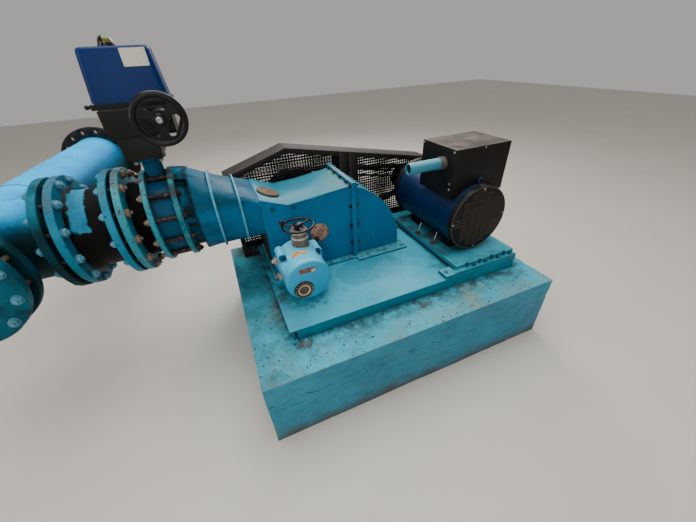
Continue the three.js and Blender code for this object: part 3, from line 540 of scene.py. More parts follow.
def spool_paint(name):
    """Cast spool: blue flanges and a blue patch, bare bitumen between them."""
    look = bpy.context.scene.turbine_paints
    made = Finish(name, 0.5, 0.0, 0.0, 0.12)
    flange = srgb(24, 126, 156)
    made.colour = made.mix(made.noise(8, 5), times(look.bitumen, 0.5), look.bitumen)
    made.over(made.patchy(34, 5, 0.66, 0.76, 0, 0.3), times(look.rust, 0.15), 0.8)
    wobble = made.add("ShaderNodeTexNoise", {"Vector": made.place, "Scale": 26.0, "Detail": 5.0}).outputs[1]
    moved = made.add("ShaderNodeVectorMath", {0: wobble, 1: (0.5, 0.5, 0.5)}, operation="SUBTRACT").outputs[0]
    scaled = made.add("ShaderNodeVectorMath", {0: moved, 3: 0.05}, operation="SCALE").outputs[0]
    spot = made.add("ShaderNodeVectorMath", {0: made.place, 1: scaled}, operation="ADD").outputs[0]
    x, y, z = made.add("ShaderNodeSeparateXYZ", {0: spot}).outputs
    across = made.both(made.between(x, -1.578, -1.572), made.between(x, -1.504, -1.510))
    patch = made.both(across, made.between(z, 1.088, 1.094), made.between(y, 0.34, 0.31))
    true_x = made.axes()[0]
    left = made.between(true_x, -1.587, -1.592)
    right = made.between(true_x, -1.421, -1.418)
    shade = made.patchy(6, 6, 0.35, 0.62, shift=(4, 4, 4))
    made.over(patch, made.mix(shade, srgb(14, 100, 132), srgb(40, 146, 178)), 0.42)
    made.over(made.math("MAXIMUM", left, right), made.mix(shade, times(flange, 0.6), flange), 0.45)
    made.over((made.math("MAXIMUM", left, right), made.facing_up(0.3, 0.95),
               made.patchy(24, 7, 0.46, 0.58, 0, 0.7)), srgb(80, 84, 84), 0.7)
    # Near-black in hollows from ambient occlusion: grime and painted shade
    made.over((made.hollows(0.05), 0.85), times(look.dirt_and_shade, 0.25), 0.85)
    made.over(made.patchy(80, 3, 0.64, 0.70, 0, 0.8, shift=(1, 9, 4)), times(look.dirt_and_shade, 0.3), 0.8)
    return made.done(0.6, 90, 0.002)


def recipes(p):
    """Each finish: the function that makes it, and the values it takes after the name."""
    # For paint the values are colour, roughness, gloss, top colour (painted top light, partly dust), dust,
    # grime and painted shade in hollows, chips, edge colour (a pale painted edge highlight; a worn brown on
    # the blue nuts) and shine
    return {
        "deck_paint": (deck_paint,),
        "flange_paint": (flange_paint,),
        "header_paint": (header_paint,),
        "reducer_paint": (reducer_paint,),
        "blind_paint": (blind_paint,),
        "teal_paint": (casing_paint,),
        # Pale coat of the welds: real welds, their paleness a painted edge highlight
        "weld_paint": (paint, srgb(50, 136, 158), 0.45, 0.0, None, 0.2, 0.5, 0.8),
        "valve_paint": (paint, srgb(0, 72, 104), 0.42, 0.0, None, 0.05, 0.95, 1.0, None, 0.15),
        "deep_blue_paint": (paint, p.deep_blue, 0.38, 0.03, None, 0.02, 0.25, 0.0, None, 0.12),
        "vane_paint": (paint, srgb(34, 164, 206), 0.42, 0.04, srgb(96, 206, 236), 0.02, 0.7, 0.5,
                       srgb(150, 218, 230), 0.2),
        "conduit_paint": (paint, srgb(54, 132, 154), 0.45, 0.05, srgb(104, 170, 184), 0.2, 0.4, 0.2),
        "navy_paint": (paint, p.navy, 0.42, 0.06, srgb(14, 44, 84), 0.22, 0.6, 0.1),
        "black_paint": (paint, p.black, 0.55, 0.0, srgb(20, 19, 18), 0.2, 0.3, 0.2),
        "box_lid": (paint, p.black, 0.6, 0.0, srgb(84, 74, 68), 0.4, 0.3, 0.1),
        "gearbox_paint": (paint, srgb(9, 9, 10), 0.5, 0.0, None, 0.15, 0.4, 0.2),
        "louvre_paint": (paint, srgb(48, 40, 34), 0.55, 0.0, srgb(78, 67, 56), 0.4, 0.2, 0.0),
        "dusty_rim": (paint, srgb(84, 74, 64), 0.6, 0.0, None, 0.5, 0.5, 0.5),
        "wheel_paint": (paint, srgb(3, 3, 4), 0.34, 0.1, None, 0.03, 0.2, 0.2),
        "cream_plate": (paint, srgb(206, 204, 184), 0.5, 0.0, None, 0.2, 0.6, 0.6),
        "worn_label": (worn_patch, srgb(196, 108, 44), srgb(212, 170, 84), srgb(70, 140, 160)),
        "face_label": (worn_patch, srgb(120, 70, 44), srgb(150, 98, 64), srgb(84, 118, 124)),
        "indicator_green": (paint, srgb(92, 96, 40), 0.15, 0.4, None, 0.1, 0.3, 0.2),
        "bitumen_coat": (spool_paint,),
        "tar_coat": (tar_coat,),
        "mesh_paint": (paint, srgb(5, 5, 5), 0.6, 0.0, None, 0.1, 0.2, 0.2),
        "drab_paint": (paint, srgb(28, 24, 21), 0.65, 0.0, srgb(46, 40, 35), 0.08, 0.5, 0.5),
        "cap_iron": (rusty, srgb(176, 136, 112), 0.65, 0.1),
        "neck_iron": (neck_paint,),
        "brown_plate": (rusty, srgb(128, 100, 72), 0.7, 0.2),
        "copper": (rusty, srgb(236, 196, 146), 0.55, 0.05),
        "grey_iron": (rusty, srgb(116, 110, 100), 0.55, 0.3),
        "dark_bolt": (rusty, srgb(34, 29, 27), 0.6, 0.5),
        "rusty_nut": (rusty, srgb(96, 70, 54), 0.75, 0.3),
        "pale_nut": (rusty, srgb(184, 172, 154), 0.6, 0.2),
        "worn_nut": (rusty, srgb(140, 122, 104), 0.65, 0.2),
        "blue_nut": (paint, srgb(66, 146, 172), 0.5, 0.0, None, 0.1, 0.9, 1.0, srgb(110, 84, 66)),
        "pulley_iron": (metal, srgb(52, 52, 54), 0.5, 0.8),
        "bright_steel": (metal, srgb(170, 170, 168), 0.32, 0.95),
        "brass": (metal, srgb(140, 122, 90), 0.45, 0.8, 0.7),
        "belt_rubber": (dull, srgb(22, 21, 21), 0.8),
        "gasket_rubber": (dull, srgb(5, 5, 5), 0.8, 0.05),
        "dark_plastic": (dull, srgb(14, 14, 17), 0.12, 0.05),
        "plinth_paint": (plinth_paint,),
    }


def finish(name):
    """The material of that name, made the first time it is asked for; the frame may hold a plain namesake."""
    if name not in bpy.data.materials or "turbine" not in bpy.data.materials[name]:
        maker, *values = recipes(bpy.context.scene.turbine_paints)[name]
        made = maker(name, *values)
        made["turbine"] = True
        made.name = name
        return made
    return bpy.data.materials[name]


def placed(name, data):
    """An object for a mesh, light or camera, linked to the scene."""
    made = bpy.data.objects.new(name, data)
    bpy.context.scene.collection.objects.link(made)
    return made


def mesh_of(name, bm, outwards=True):
    """The bmesh as a mesh, with its faces turned outwards where asked."""
    mesh = bpy.data.meshes.new(name)
    if outwards:
        bmesh.ops.recalc_face_normals(bm, faces=bm.faces)
    bm.to_mesh(mesh)
    bm.free()
    return mesh


def applied(holder, *helpers):
    """The holder's mesh after its modifiers; the holder and its helpers are removed."""
    graph = bpy.context.evaluated_depsgraph_get()
    mesh = bpy.data.meshes.new_from_object(holder.evaluated_get(graph))
    for used in (holder, *helpers):
        bpy.data.objects.remove(used)
    return mesh


def show(name, mesh, coat, body="plant", replaces=(), smooth=35):
    """Puts a finished mesh in the scene on its body, with its material, in place of CAD nodes."""
    piece = placed(name, mesh)
    mesh.materials.clear()
    mesh.materials.append(finish(coat))
    mesh.shade_smooth()
    mesh.set_sharp_from_angle(angle=math.radians(smooth))
    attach(piece, body)
    if replaces:
        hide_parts(*replaces)
    return piece


def emit(name, bm, coat, body="plant", replaces=(), smooth=35, edge=0.0):
    """Turns a bmesh into a shown piece, with its edges rounded where asked."""
    mesh = mesh_of(name, bm)
    if edge:
        mesh = rounded(name, mesh, edge)
    return show(name, mesh, coat, body, replaces, smooth)


def slab(name, low, high, coat, **more):
    """Emits a plain box between two corners."""
    emit(name, block(bmesh.new(), low, high), coat, **more)


def rounded(name, mesh, width, segments=2):
    """The mesh with its sharp edges bevelled and its flat faces kept flat."""
    holder = placed(name + ".raw", mesh)
    bevel = holder.modifiers.new("edges", "BEVEL")
    bevel.width = width
    bevel.segments = segments
    bevel.limit_method = "ANGLE"
    bevel.angle_limit = math.radians(32)
    bevel.harden_normals = True
    mesh.shade_smooth()
    return applied(holder)


def refined(node, coat, edge=None, smooth=35):
    """A copy of a CAD node, merged into clean faces with rounded edges, in its place."""
    source = frame["nodes"][node]
    bm = bmesh.new()
    bm.from_mesh(source.data)
    bmesh.ops.remove_doubles(bm, verts=bm.verts, dist=2e-5)
    bmesh.ops.dissolve_limit(bm, angle_limit=math.radians(0.6), verts=bm.verts, edges=bm.edges)
    mesh = mesh_of(node + "_shape", bm, outwards=False)
    width = bpy.context.scene.turbine_sizes.edge if edge is None else edge
    body = next(b for b, members in frame["record"]["behaviour"]["bodies"].items() if node in members)
    return show(node + "_body", rounded(node, mesh, width), coat, body, [node], smooth)


# Axes: a matrix that carries +Z to the named axis, at a point
TURNS = {"x": Euler((0, math.pi / 2, 0)), "y": Euler((-math.pi / 2, 0, 0)), "z": Euler((0, 0, 0)),
         "-x": Euler((0, -math.pi / 2, 0)), "-y": Euler((math.pi / 2, 0, 0)), "-z": Euler((math.pi, 0, 0))}


def at(axis, centre):
    return Matrix.Translation(Vector(centre)) @ TURNS[axis].to_matrix().to_4x4()


def around(count, start=0.0):
    """Evenly spaced angles of a full turn."""
    return [start + 2 * math.pi * i / count for i in range(count)]


def lathe(bm, place, profile, segments=FULL_CIRCLE):
    """Adds a solid turned from [radius, distance] pairs along the place's +Z; off the axis it closes."""
    rings = []
    for radius, distance in profile:
        if radius < 1e-7:
            rings.append([bm.verts.new(place @ Vector((0, 0, distance)))])
            continue
        rings.append([bm.verts.new(place @ Vector((radius * math.cos(a), radius * math.sin(a), distance)))
                      for a in around(segments)])
    hollow = profile[0][0] > 1e-7
    pairs = list(zip(rings, rings[1:] + rings[:1] if hollow else rings[1:]))
    for first, second in pairs:
        for i in range(segments):
            j = (i + 1) % segments
            if len(first) == 1 and len(second) == 1:
                break
            if len(first) == 1:
                bm.faces.new((first[0], second[j], second[i]))
            elif len(second) == 1:
                bm.faces.new((first[i], first[j], second[0]))
            else:
                bm.faces.new((first[i], first[j], second[j], second[i]))
    return bm


def turned(name, place, profile, coat, body="plant", replaces=(), segments=FULL_CIRCLE, smooth=35):
    """A turned solid, shown."""
    return emit(name, lathe(bmesh.new(), place, profile, segments), coat, body, replaces, smooth)


def rod(radius, start, end):
    """Profile of a plain round bar."""
    return [(0, start), (radius, start), (radius, end), (0, end)]


def disc_profile(radius, start, end, chamfer=0.002):
    return [(0, start), (radius - chamfer, start), (radius, start + chamfer),
            (radius, end - chamfer), (radius - chamfer, end), (0, end)]


def ring_profile(inner, outer, start, end, chamfer=0.002):
    return [(inner, start), (outer - chamfer, start), (outer, start + chamfer),
            (outer, end - chamfer), (outer - chamfer, end), (inner, end)]


def block(bm, low, high, place=None):
    """Adds a box between two corners."""
    corners = [Vector((x, y, z))
               for x in (low[0], high[0]) for y in (low[1], high[1]) for z in (low[2], high[2])]
    verts = [bm.verts.new(place @ c if place else c) for c in corners]
    for quad in ((0, 1, 3, 2), (4, 6, 7, 5), (0, 4, 5, 1), (2, 3, 7, 6), (0, 2, 6, 4), (1, 5, 7, 3)):
        bm.faces.new([verts[i] for i in quad])
    return bm


def plate(bm, outline, holes, thickness, place):
    """Adds a flat plate with holes: loops of 2-D points, thick along the place's +Z."""
    edges = []
    for loop in [outline, *holes]:
        verts = [bm.verts.new((x, y, 0)) for x, y in loop]
        edges += [bm.edges.new((verts[i - 1], verts[i])) for i in range(len(verts))]
    filled = bmesh.ops.triangle_fill(bm, use_beauty=True, use_dissolve=False, edges=edges)
    faces = [g for g in filled["geom"] if isinstance(g, bmesh.types.BMFace)]
    raised = bmesh.ops.extrude_face_region(bm, geom=faces)
    top = [g for g in raised["geom"] if isinstance(g, bmesh.types.BMVert)]
    bmesh.ops.translate(bm, verts=top, vec=(0, 0, thickness))
    made = {v for f in faces for v in f.verts} | set(top)
    bmesh.ops.transform(bm, matrix=place, verts=list(made))
    return bm


def loft(bm, rings):
    """Adds a closed skin over rings that have as many points each."""
    loops = [[bm.verts.new(p) for p in ring] for ring in rings]
    for first, second in zip(loops, loops[1:]):
        for i in range(len(first)):
            j = (i + 1) % len(first)
            bm.faces.new((first[i], first[j], second[j], second[i]))
    bm.faces.new(loops[0][::-1])
    bm.faces.new(loops[-1])
    return bm


def rounded_rectangle(low, high, radius, height, steps=8):
    """Points round a rectangle with rounded corners, at one height."""
    points = []
    for x, y, start in ((high[0] - radius, high[1] - radius, 0), (low[0] + radius, high[1] - radius, 90),
                        (low[0] + radius, low[1] + radius, 180), (high[0] - radius, low[1] + radius, 270)):
        for i in range(steps + 1):
            angle = math.radians(start + 90 * i / steps)
            points.append(Vector((x + radius * math.cos(angle), y + radius * math.sin(angle), height)))
    return points


def loose(name, bm):
    """A helper object made from a bmesh, not part of the finished scene."""
    return placed(name + ".raw", mesh_of(name, bm))


def carved(name, base, parts):
    """The base with each part added to it or cut from it, in turn."""
    holder = loose(name, base)
    helpers = []
    for operation, bm in parts:
        helper = loose(name, bm)
        helpers.append(helper)
        step = holder.modifiers.new("step", "BOOLEAN")
        step.operation = operation
        step.solver = "EXACT"
        step.object = helper
    return applied(holder, *helpers)


def handwheel(node, axis, centre, radius, tube, body, web):
    """A handwheel on +Z with a round rim, three spokes or a web with three openings, a hub and a stub."""
    place = at(axis, centre)
    round_rim = [(radius - tube + tube * math.cos(a), tube * 0.9 * math.sin(a)) for a in around(18)]
    bm = lathe(bmesh.new(), place, round_rim, 88)
    hub = 0.0255
    stub = -(0.0945 if web else 0.0595)
    lathe(bm, place, [
        (0, stub), (0.0115, stub), (0.0115, -0.0155), (hub - 0.002, -0.0155), (hub, -0.0135), (hub, 0.0120),
        (hub - 0.003, 0.0155), (0, 0.0155)], 48)
    if web:
        inner, outer = 0.039, 0.0815
        reach = (inner + outer) / 2
        kidneys = []
        for turn in (90, 210, 330):
            half = math.radians(43) * reach
            loop = rounded_rectangle((-half, inner), (half, outer), 0.015, 0, 6)
            kidneys.append([(p.y * math.cos(math.radians(turn) + p.x / reach),
                             p.y * math.sin(math.radians(turn) + p.x / reach)) for p in loop])
        plate(bm, circle(radius - tube * 1.2, steps=72), kidneys, 0.008,
              place @ Matrix.Translation((0, 0, -0.004)))
    else:
        for turn in (30, 150, 270):
            arm = place @ Matrix.Rotation(math.radians(turn), 4, "Z") @ TURNS["x"].to_matrix().to_4x4()
            stations = ((hub - 0.004, 0.0105), (radius * 0.6, 0.0075), (radius - tube, 0.0085))
            loft(bm, [[arm @ Vector((0.0042 * math.cos(a), wide * math.sin(a), out)) for a in around(14)]
                      for out, wide in stations])
        knob = place @ Matrix.Translation((-(radius - tube), 0, 0))
        lathe(bm, knob, [(0, 0.0), (0.006, 0.0), (0.0058, 0.010), (0.009, 0.014), (0.0125, 0.026),
                         (0.0128, 0.040), (0.0105, 0.050), (0.006, 0.0535), (0, 0.054)], 32)
    emit(node + "_body", bm, "wheel_paint", body, [node], smooth=50)


def circle(radius, centre=(0, 0), steps=24, start=0.0):
    """Points round a circle."""
    return [(centre[0] + radius * math.cos(a), centre[1] + radius * math.sin(a))
            for a in around(steps, start)]


def sweep(bm, path, section, closed=False, up=Vector((0, 0, 1))):
    """Adds a section of [side, up] points carried along a path."""
    count = len(path)
    rings = []
    for i, point in enumerate(path):
        before = path[i - 1] if closed or i else path[0]
        after = path[(i + 1) % count] if closed or i < count - 1 else path[-1]
        along = (Vector(after) - Vector(before)).normalized()
        side = along.cross(up).normalized()
        over = side.cross(along)
        rings.append([bm.verts.new(Vector(point) + side * s + over * u) for s, u in section])
    steps = count if closed else count - 1
    for i in range(steps):
        first, second = rings[i], rings[(i + 1) % count]
        for k in range(len(section)):
            j = (k + 1) % len(section)
            bm.faces.new((first[k], first[j], second[j], second[k]))
    if not closed:
        bm.faces.new(rings[0])
        bm.faces.new(rings[-1][::-1])
    return bm


def weld(name, paths, radius, coat, body="plant"):
    """Rippled weld beads along paths, painted over."""
    bm = bmesh.new()
    rng = random.Random(11)
    for path in paths:
        sections = [Vector(p) + Vector([rng.uniform(-1, 1) * radius * 0.12 for _ in range(3)]) for p in path]
        sweep(bm, sections, circle(radius, steps=8))
    return emit(name, bm, coat, body, smooth=60)


def line(start, end, step=0.012):
    """Evenly spaced points from start to end."""
    start, end = Vector(start), Vector(end)
    count = max(2, round((end - start).length / step))
    return [start.lerp(end, i / count) for i in range(count + 1)]


class Growth(Nodes):
    """A Geometry Nodes tree that repeats the mesh it is given."""

    def __init__(self, name, inputs):
        super().__init__(bpy.data.node_groups.new(name, "GeometryNodeTree"))
        face = self.tree.interface
        face.new_socket(name="Part", in_out="INPUT", socket_type="NodeSocketGeometry")
        for label, kind in inputs.items():
            face.new_socket(name=label, in_out="INPUT", socket_type="NodeSocket" + kind)
        face.new_socket(name="Material", in_out="INPUT", socket_type="NodeSocketMaterial")
        face.new_socket(name="Result", in_out="OUTPUT", socket_type="NodeSocketGeometry")
        self.given = self.add("NodeGroupInput").outputs

    def spin(self, seed):
        wires = {0: (0, 0, 0), 1: (0, 0, math.pi), "Seed": seed}
        return self.add("FunctionNodeRandomValue", wires, data_type="FLOAT_VECTOR").outputs[0]

    def finish(self, geometry):
        whole = self.add("GeometryNodeRealizeInstances", {0: geometry}).outputs[0]
        coated = self.add("GeometryNodeSetMaterial", {"Geometry": whole, "Material": self.given["Material"]})
        self.add("NodeGroupOutput", {0: coated.outputs[0]})
        return self.tree


def ring_tree():
    """Parts on a circle about +Z, turned at random or to face outwards, then carried to their place."""
    grow = Growth("parts_on_a_circle", {"Count": "Int", "Radius": "Float", "First angle": "Float",
                                        "Turn": "Vector", "Centre": "Vector", "Seed": "Int",
                                        "Facing": "Float"})
    points = grow.add("GeometryNodeMeshCircle",
                      {"Vertices": grow.given["Count"], "Radius": grow.given["Radius"]})
    step = grow.math("DIVIDE", math.tau, grow.given["Count"])
    outward = grow.math("MULTIPLY", grow.add("GeometryNodeInputIndex").outputs[0], step)
    spin = grow.add("ShaderNodeSeparateXYZ", {0: grow.spin(grow.given["Seed"])}).outputs[2]
    angle = grow.add("ShaderNodeMix", {0: grow.given["Facing"], 2: spin, 3: outward}).outputs[0]
    placed = grow.add("GeometryNodeInstanceOnPoints", {
        "Points": points.outputs[0], "Instance": grow.given["Part"],
        "Rotation": grow.add("ShaderNodeCombineXYZ", {2: angle}).outputs[0]})
    first = grow.add("ShaderNodeCombineXYZ", {2: grow.given["First angle"]}).outputs[0]
    started = grow.add("GeometryNodeTransform", {"Geometry": placed.outputs[0], "Rotation": first})
    carried = grow.add("GeometryNodeTransform", {
        "Geometry": started.outputs[0], "Rotation": grow.given["Turn"], "Translation": grow.given["Centre"]})
    return grow.finish(carried.outputs[0])


def upright_grid(grow, columns, rows, across, up):
    """Points of a grid that stands in the XZ plane about its centre."""
    def span(count, pitch):
        return grow.math("MULTIPLY", grow.math("SUBTRACT", count, 1.0), pitch)
    flat = grow.add("GeometryNodeMeshGrid", {
        "Size X": span(columns, across), "Size Y": span(rows, up), "Vertices X": columns, "Vertices Y": rows})
    return grow.add("GeometryNodeTransform",
                    {"Geometry": flat.outputs[0], "Rotation": (math.pi / 2, 0, 0)}).outputs[0]


def louvre_tree():
    """Parts on an upright grid, kept where they lie inside a circle."""
    grow = Growth("louvres_in_a_circle", {"Columns": "Int", "Rows": "Int", "Across": "Float", "Up": "Float",
                                          "Reach": "Float", "Centre": "Vector"})
    given = grow.given
    points = upright_grid(grow, given["Columns"], given["Rows"], given["Across"], given["Up"])
    x, _, z = grow.add("ShaderNodeSeparateXYZ", {0: grow.add("GeometryNodeInputPosition").outputs[0]}).outputs
    end = grow.math("ADD", grow.math("ABSOLUTE", x), grow.math("MULTIPLY", given["Across"], 0.4))
    outside = grow.math("GREATER_THAN", grow.math("SQRT", grow.math(
        "ADD", grow.math("MULTIPLY", end, end), grow.math("MULTIPLY", z, z))), given["Reach"])
    kept = grow.add("GeometryNodeDeleteGeometry", {"Geometry": points, "Selection": outside})
    placed = grow.add("GeometryNodeInstanceOnPoints", {"Points": kept.outputs[0], "Instance": given["Part"]})
    moved = grow.add("GeometryNodeTransform", {"Geometry": placed.outputs[0], "Translation": given["Centre"]})
    return grow.finish(moved.outputs[0])


def guard_tree():
    """Flat cells on an upright grid under two sloping lines, joined and given a thickness towards -Y."""
    grow = Growth("perforated_guard", {"Columns": "Int", "Rows": "Int", "Pitch": "Float",
                                       "Thickness": "Float", "Centre": "Vector", "Peak": "Vector",
                                       "Left slope": "Float", "Right slope": "Float", "Margin": "Float",
                                       "First hole": "Vector", "First radius": "Float",
                                       "Second hole": "Vector", "Second radius": "Float"})
    given = grow.given
    points = upright_grid(grow, given["Columns"], given["Rows"], given["Pitch"], given["Pitch"])
    moved = grow.add("GeometryNodeTransform", {"Geometry": points, "Translation": given["Centre"]}).outputs[0]
    place = grow.add("GeometryNodeInputPosition").outputs[0]
    x, _, z = grow.add("ShaderNodeSeparateXYZ", {0: place}).outputs
    peak_x, _, peak_z = grow.add("ShaderNodeSeparateXYZ", {0: given["Peak"]}).outputs
    aside = grow.math("SUBTRACT", x, peak_x)
    drop = grow.math("MAXIMUM", grow.math("MULTIPLY", aside, given["Right slope"]),
                     grow.math("MULTIPLY", grow.math("MULTIPLY", aside, -1.0), given["Left slope"]))
    roof = grow.math("SUBTRACT", grow.math("SUBTRACT", peak_z, drop), given["Margin"])
    gone = grow.math("GREATER_THAN", z, roof)
    flat_place = grow.add("ShaderNodeCombineXYZ", {0: x, 2: z}).outputs[0]
    for name in ("First", "Second"):
        away = grow.add("ShaderNodeVectorMath", {0: flat_place, 1: given[name + " hole"]},
                        operation="DISTANCE")
        edge = grow.math("ADD", given[name + " radius"], grow.math("MULTIPLY", given["Pitch"], 0.5))
        inside = grow.math("MULTIPLY", grow.math("LESS_THAN", away.outputs["Value"], edge),
                           grow.math("GREATER_THAN", given[name + " radius"], 0.001))
        gone = grow.math("MAXIMUM", gone, inside)
    kept = grow.add("GeometryNodeDeleteGeometry", {"Geometry": moved, "Selection": gone})
    cells = grow.add("GeometryNodeInstanceOnPoints", {"Points": kept.outputs[0], "Instance": given["Part"]})
    real = grow.add("GeometryNodeRealizeInstances", {0: cells.outputs[0]})
    joined = grow.add("GeometryNodeMergeByDistance",
                      {"Geometry": real.outputs[0], "Distance": 0.0002}).outputs[0]
    raised = grow.add("GeometryNodeExtrudeMesh", {
        "Mesh": joined, "Offset": (0.0, -1.0, 0.0), "Offset Scale": given["Thickness"], "Individual": False})
    back = grow.add("GeometryNodeFlipFaces", {0: joined})
    both = grow.add("GeometryNodeJoinGeometry")
    grow.tree.links.new(raised.outputs[0], both.inputs[0])
    grow.tree.links.new(back.outputs[0], both.inputs[0])
    sealed = grow.add("GeometryNodeMergeByDistance", {"Geometry": both.outputs[0], "Distance": 0.0001})
    return grow.finish(sealed.outputs[0])


def row_tree():
    """Parts in a row between two points, all pointing one way."""
    grow = Growth("parts_in_a_row", {
        "Count": "Int", "Start": "Vector", "End": "Vector", "Turn": "Vector", "Seed": "Int"})
    points = grow.add("GeometryNodeMeshLine", {
        "Count": grow.given["Count"], "Start Location": grow.given["Start"], "Offset": grow.given["End"]},
        mode="END_POINTS")
    spun = grow.add("GeometryNodeInstanceOnPoints", {
        "Points": points.outputs[0], "Instance": grow.given["Part"], "Rotation": grow.given["Turn"]})
    turned = grow.add("GeometryNodeRotateInstances", {
        "Instances": spun.outputs[0], "Rotation": grow.spin(grow.given["Seed"])})
    return grow.finish(turned.outputs[0])


TREES = {}


def tree(maker):
    """The tree that a maker builds, made once."""
    if maker.__name__ not in TREES:
        TREES[maker.__name__] = maker()
    return TREES[maker.__name__]


def multiply(name, part, maker, coat, body="plant", smooth=35, replaces=(), **values):
    """Repeats a part by a Geometry Nodes tree and keeps the result as a plain mesh."""
    group = tree(maker)
    holder = placed(name + ".raw", part)
    modifier = holder.modifiers.new("repeat", "NODES")
    modifier.node_group = group
    values["Material"] = finish(coat)
    for item in group.interface.items_tree:
        if item.in_out == "INPUT" and item.name.replace(" ", "_") in values:
            value = values[item.name.replace(" ", "_")]
            modifier[item.identifier] = list(value) if isinstance(value, (Vector, Euler, tuple)) else value
    return show(name, applied(holder), coat, body, replaces, smooth)


def fastener(size, washer=True, tip=0.0, depth=None):
    """A hexagon head or nut on +Z with its washer and a threaded end."""
    bm = bmesh.new()
    across = size * 0.92
    tall = depth or size * 0.7
    foot = size * 0.14 if washer else 0.0
    if washer:
        lathe(bm, Matrix.Identity(4), rod(size * 1.05, 0, foot), 20)
    rings = [(across, foot), (across, foot + tall * 0.86), (across * 0.88, foot + tall)]
    lathe(bm, Matrix.Identity(4), [(0, foot), *rings, (0, foot + tall)], 6)
    if tip:
        top = foot + tall + tip
        lathe(bm, Matrix.Identity(4), [
            (0, foot + tall * 0.9), (size / 2, foot + tall * 0.9), (size / 2, top - size * 0.1),
            (size * 0.4, top), (0, top)], 14)
    return mesh_of("fastener", bm)


def ring_of(name, part, axis, centre, radius, count, coat, first=0.0, seed=1, body="plant", facing=0.0):
    turn = TURNS[axis] if isinstance(axis, str) else axis
    return multiply(name, part, ring_tree, coat, body, Count=count, Radius=radius, First_angle=first,
                    Turn=turn, Centre=Vector(centre), Seed=seed, Facing=facing)


def row_of(name, part, axis, start, end, count, coat, seed=1):
    return multiply(name, part, row_tree, coat, Count=count, Start=Vector(start), End=Vector(end),
                    Turn=TURNS[axis], Seed=seed)


def one_at(name, part, axis, spot, coat, seed=1):
    """A single part, turned as in a row."""
    return row_of(name, part, axis, spot, spot, 1, coat, seed)


def middle(node):
    low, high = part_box(node)
    return (low + high) / 2


class TURBINE_OT_stage(bpy.types.Operator):
    """Pale floor, soft light and the photograph's camera"""
    bl_idname = "turbine.stage"
    bl_label = "Stage"

    def execute(self, context):
        bm = bmesh.new()
        half = 14.0
        corners = ((-half, -half), (half, -half), (half, half), (-half, half))
        bm.faces.new([bm.verts.new((x, y, 0)) for x, y in corners])
        floor = placed("floor", mesh_of("floor", bm, outwards=False))
        pale = Finish("pale_floor", 0.7)
        pale.colour = pale.mix(pale.noise(1.5), srgb(202, 196, 186), srgb(212, 206, 196))
        floor.data.materials.append(pale.done(0.05, 60, 0.001))

        world = bpy.data.worlds.new("soft_studio")
        world.use_nodes = True
        background = world.node_tree.nodes["Background"]
        background.inputs["Color"].default_value = (1.0, 0.98, 0.95, 1)
        background.inputs["Strength"].default_value = 0.42
        context.scene.world = world
        for name, place, aim, size, power in (
                ("window_light", (1.4, 4.0, 3.6), (0.1, 0.1, 0.8), 2.2, 110),
                ("overhead_light", (-0.4, 0.6, 5.2), (-0.3, 0.1, 0.6), 4.2, 230),
                ("side_light", (-4.6, -1.2, 2.6), (-0.6, 0.1, 0.8), 2.0, 45),
                ("front_light", (-1.5, -4.2, 3.0), (0.0, -0.2, 0.6), 3.0, 60)):
            light = bpy.data.lights.new(name, "AREA")
            light.size = size
            light.energy = power
            lamp = placed(name, light)
            lamp.location = place
            lamp.rotation_euler = (Vector(aim) - Vector(place)).to_track_quat("-Z", "Y").to_euler()

        forward = Vector((math.sin(YAW) * math.cos(PITCH), math.cos(YAW) * math.cos(PITCH), -math.sin(PITCH)))
        level = Vector((math.cos(YAW), -math.sin(YAW), 0))
        down = forward.cross(level)
        right = level * math.cos(ROLL) + down * math.sin(ROLL)
        below = down * math.cos(ROLL) - level * math.sin(ROLL)
        lens = bpy.data.cameras.new("photo_camera")
        lens.sensor_width = SENSOR
        lens.lens = FOCAL_PIXELS * SENSOR / PHOTO_WIDTH
        lens.clip_start = 0.05
        camera = placed("photo_camera", lens)
        basis = Matrix((right, -below, -forward)).transposed()
        camera.matrix_world = Matrix.Translation(EYE) @ basis.to_4x4()
        context.scene.camera = camera
        return {"FINISHED"}


class TURBINE_OT_plinth(bpy.types.Operator):
    """Cast plinth with worn, uneven edges"""
    bl_idname = "turbine.plinth"
    bl_label = "Concrete plinth"

    def execute(self, context):
        low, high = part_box("concrete_plinth")
        size = high - low
        step = 0.02
        counts = [round(s / step) for s in size]
        bm = bmesh.new()
        corners = {}

        def corner(i, j, k):
            if (i, j, k) not in corners:
                corners[i, j, k] = bm.verts.new(Vector([low[a] + size[a] * n / counts[a]
                                                        for a, n in enumerate((i, j, k))]))
            return corners[i, j, k]

        for flat in (2, 1, 0):
            across, along = (a for a in range(3) if a != flat)
            for end in (0, counts[flat]):
                for i in range(counts[across]):
                    for j in range(counts[along]):
                        quad = []
                        for spot in ((i, j), (i + 1, j), (i + 1, j + 1), (i, j + 1)):
                            index = [end] * 3
                            index[across], index[along] = spot
                            quad.append(corner(*index))
                        bm.faces.new(quad)
        inner = (low + high) / 2
        for vert in bm.verts:
            p = vert.co.copy()
            gaps = [min(abs(p[a] - low[a]), abs(p[a] - high[a])) for a in range(3)]
            sides = [a for a in range(3) if gaps[a] < 1e-4]
            on_edge = len(sides) >= 2
            wave = noise.noise(p * 3.1) * 0.0022 + noise.noise(p * 11.0) * 0.0010
            if on_edge:
                wave += 0.0015 + max(0.0, noise.noise(p * 16.0)) * 0.004
            for a in sides:
                if a == 2 and p.z < 0.001:
                    continue
                if a == 2 and not on_edge and abs(p.x) < 0.9:
                    wave *= 0.25
                toward = -1 if p[a] > inner[a] else 1
                vert.co[a] += toward * max(0.0, 0.0004 + wave)
        emit("concrete_plinth_body", bm, "plinth_paint", replaces=["concrete_plinth"], smooth=60)
        return {"FINISHED"}


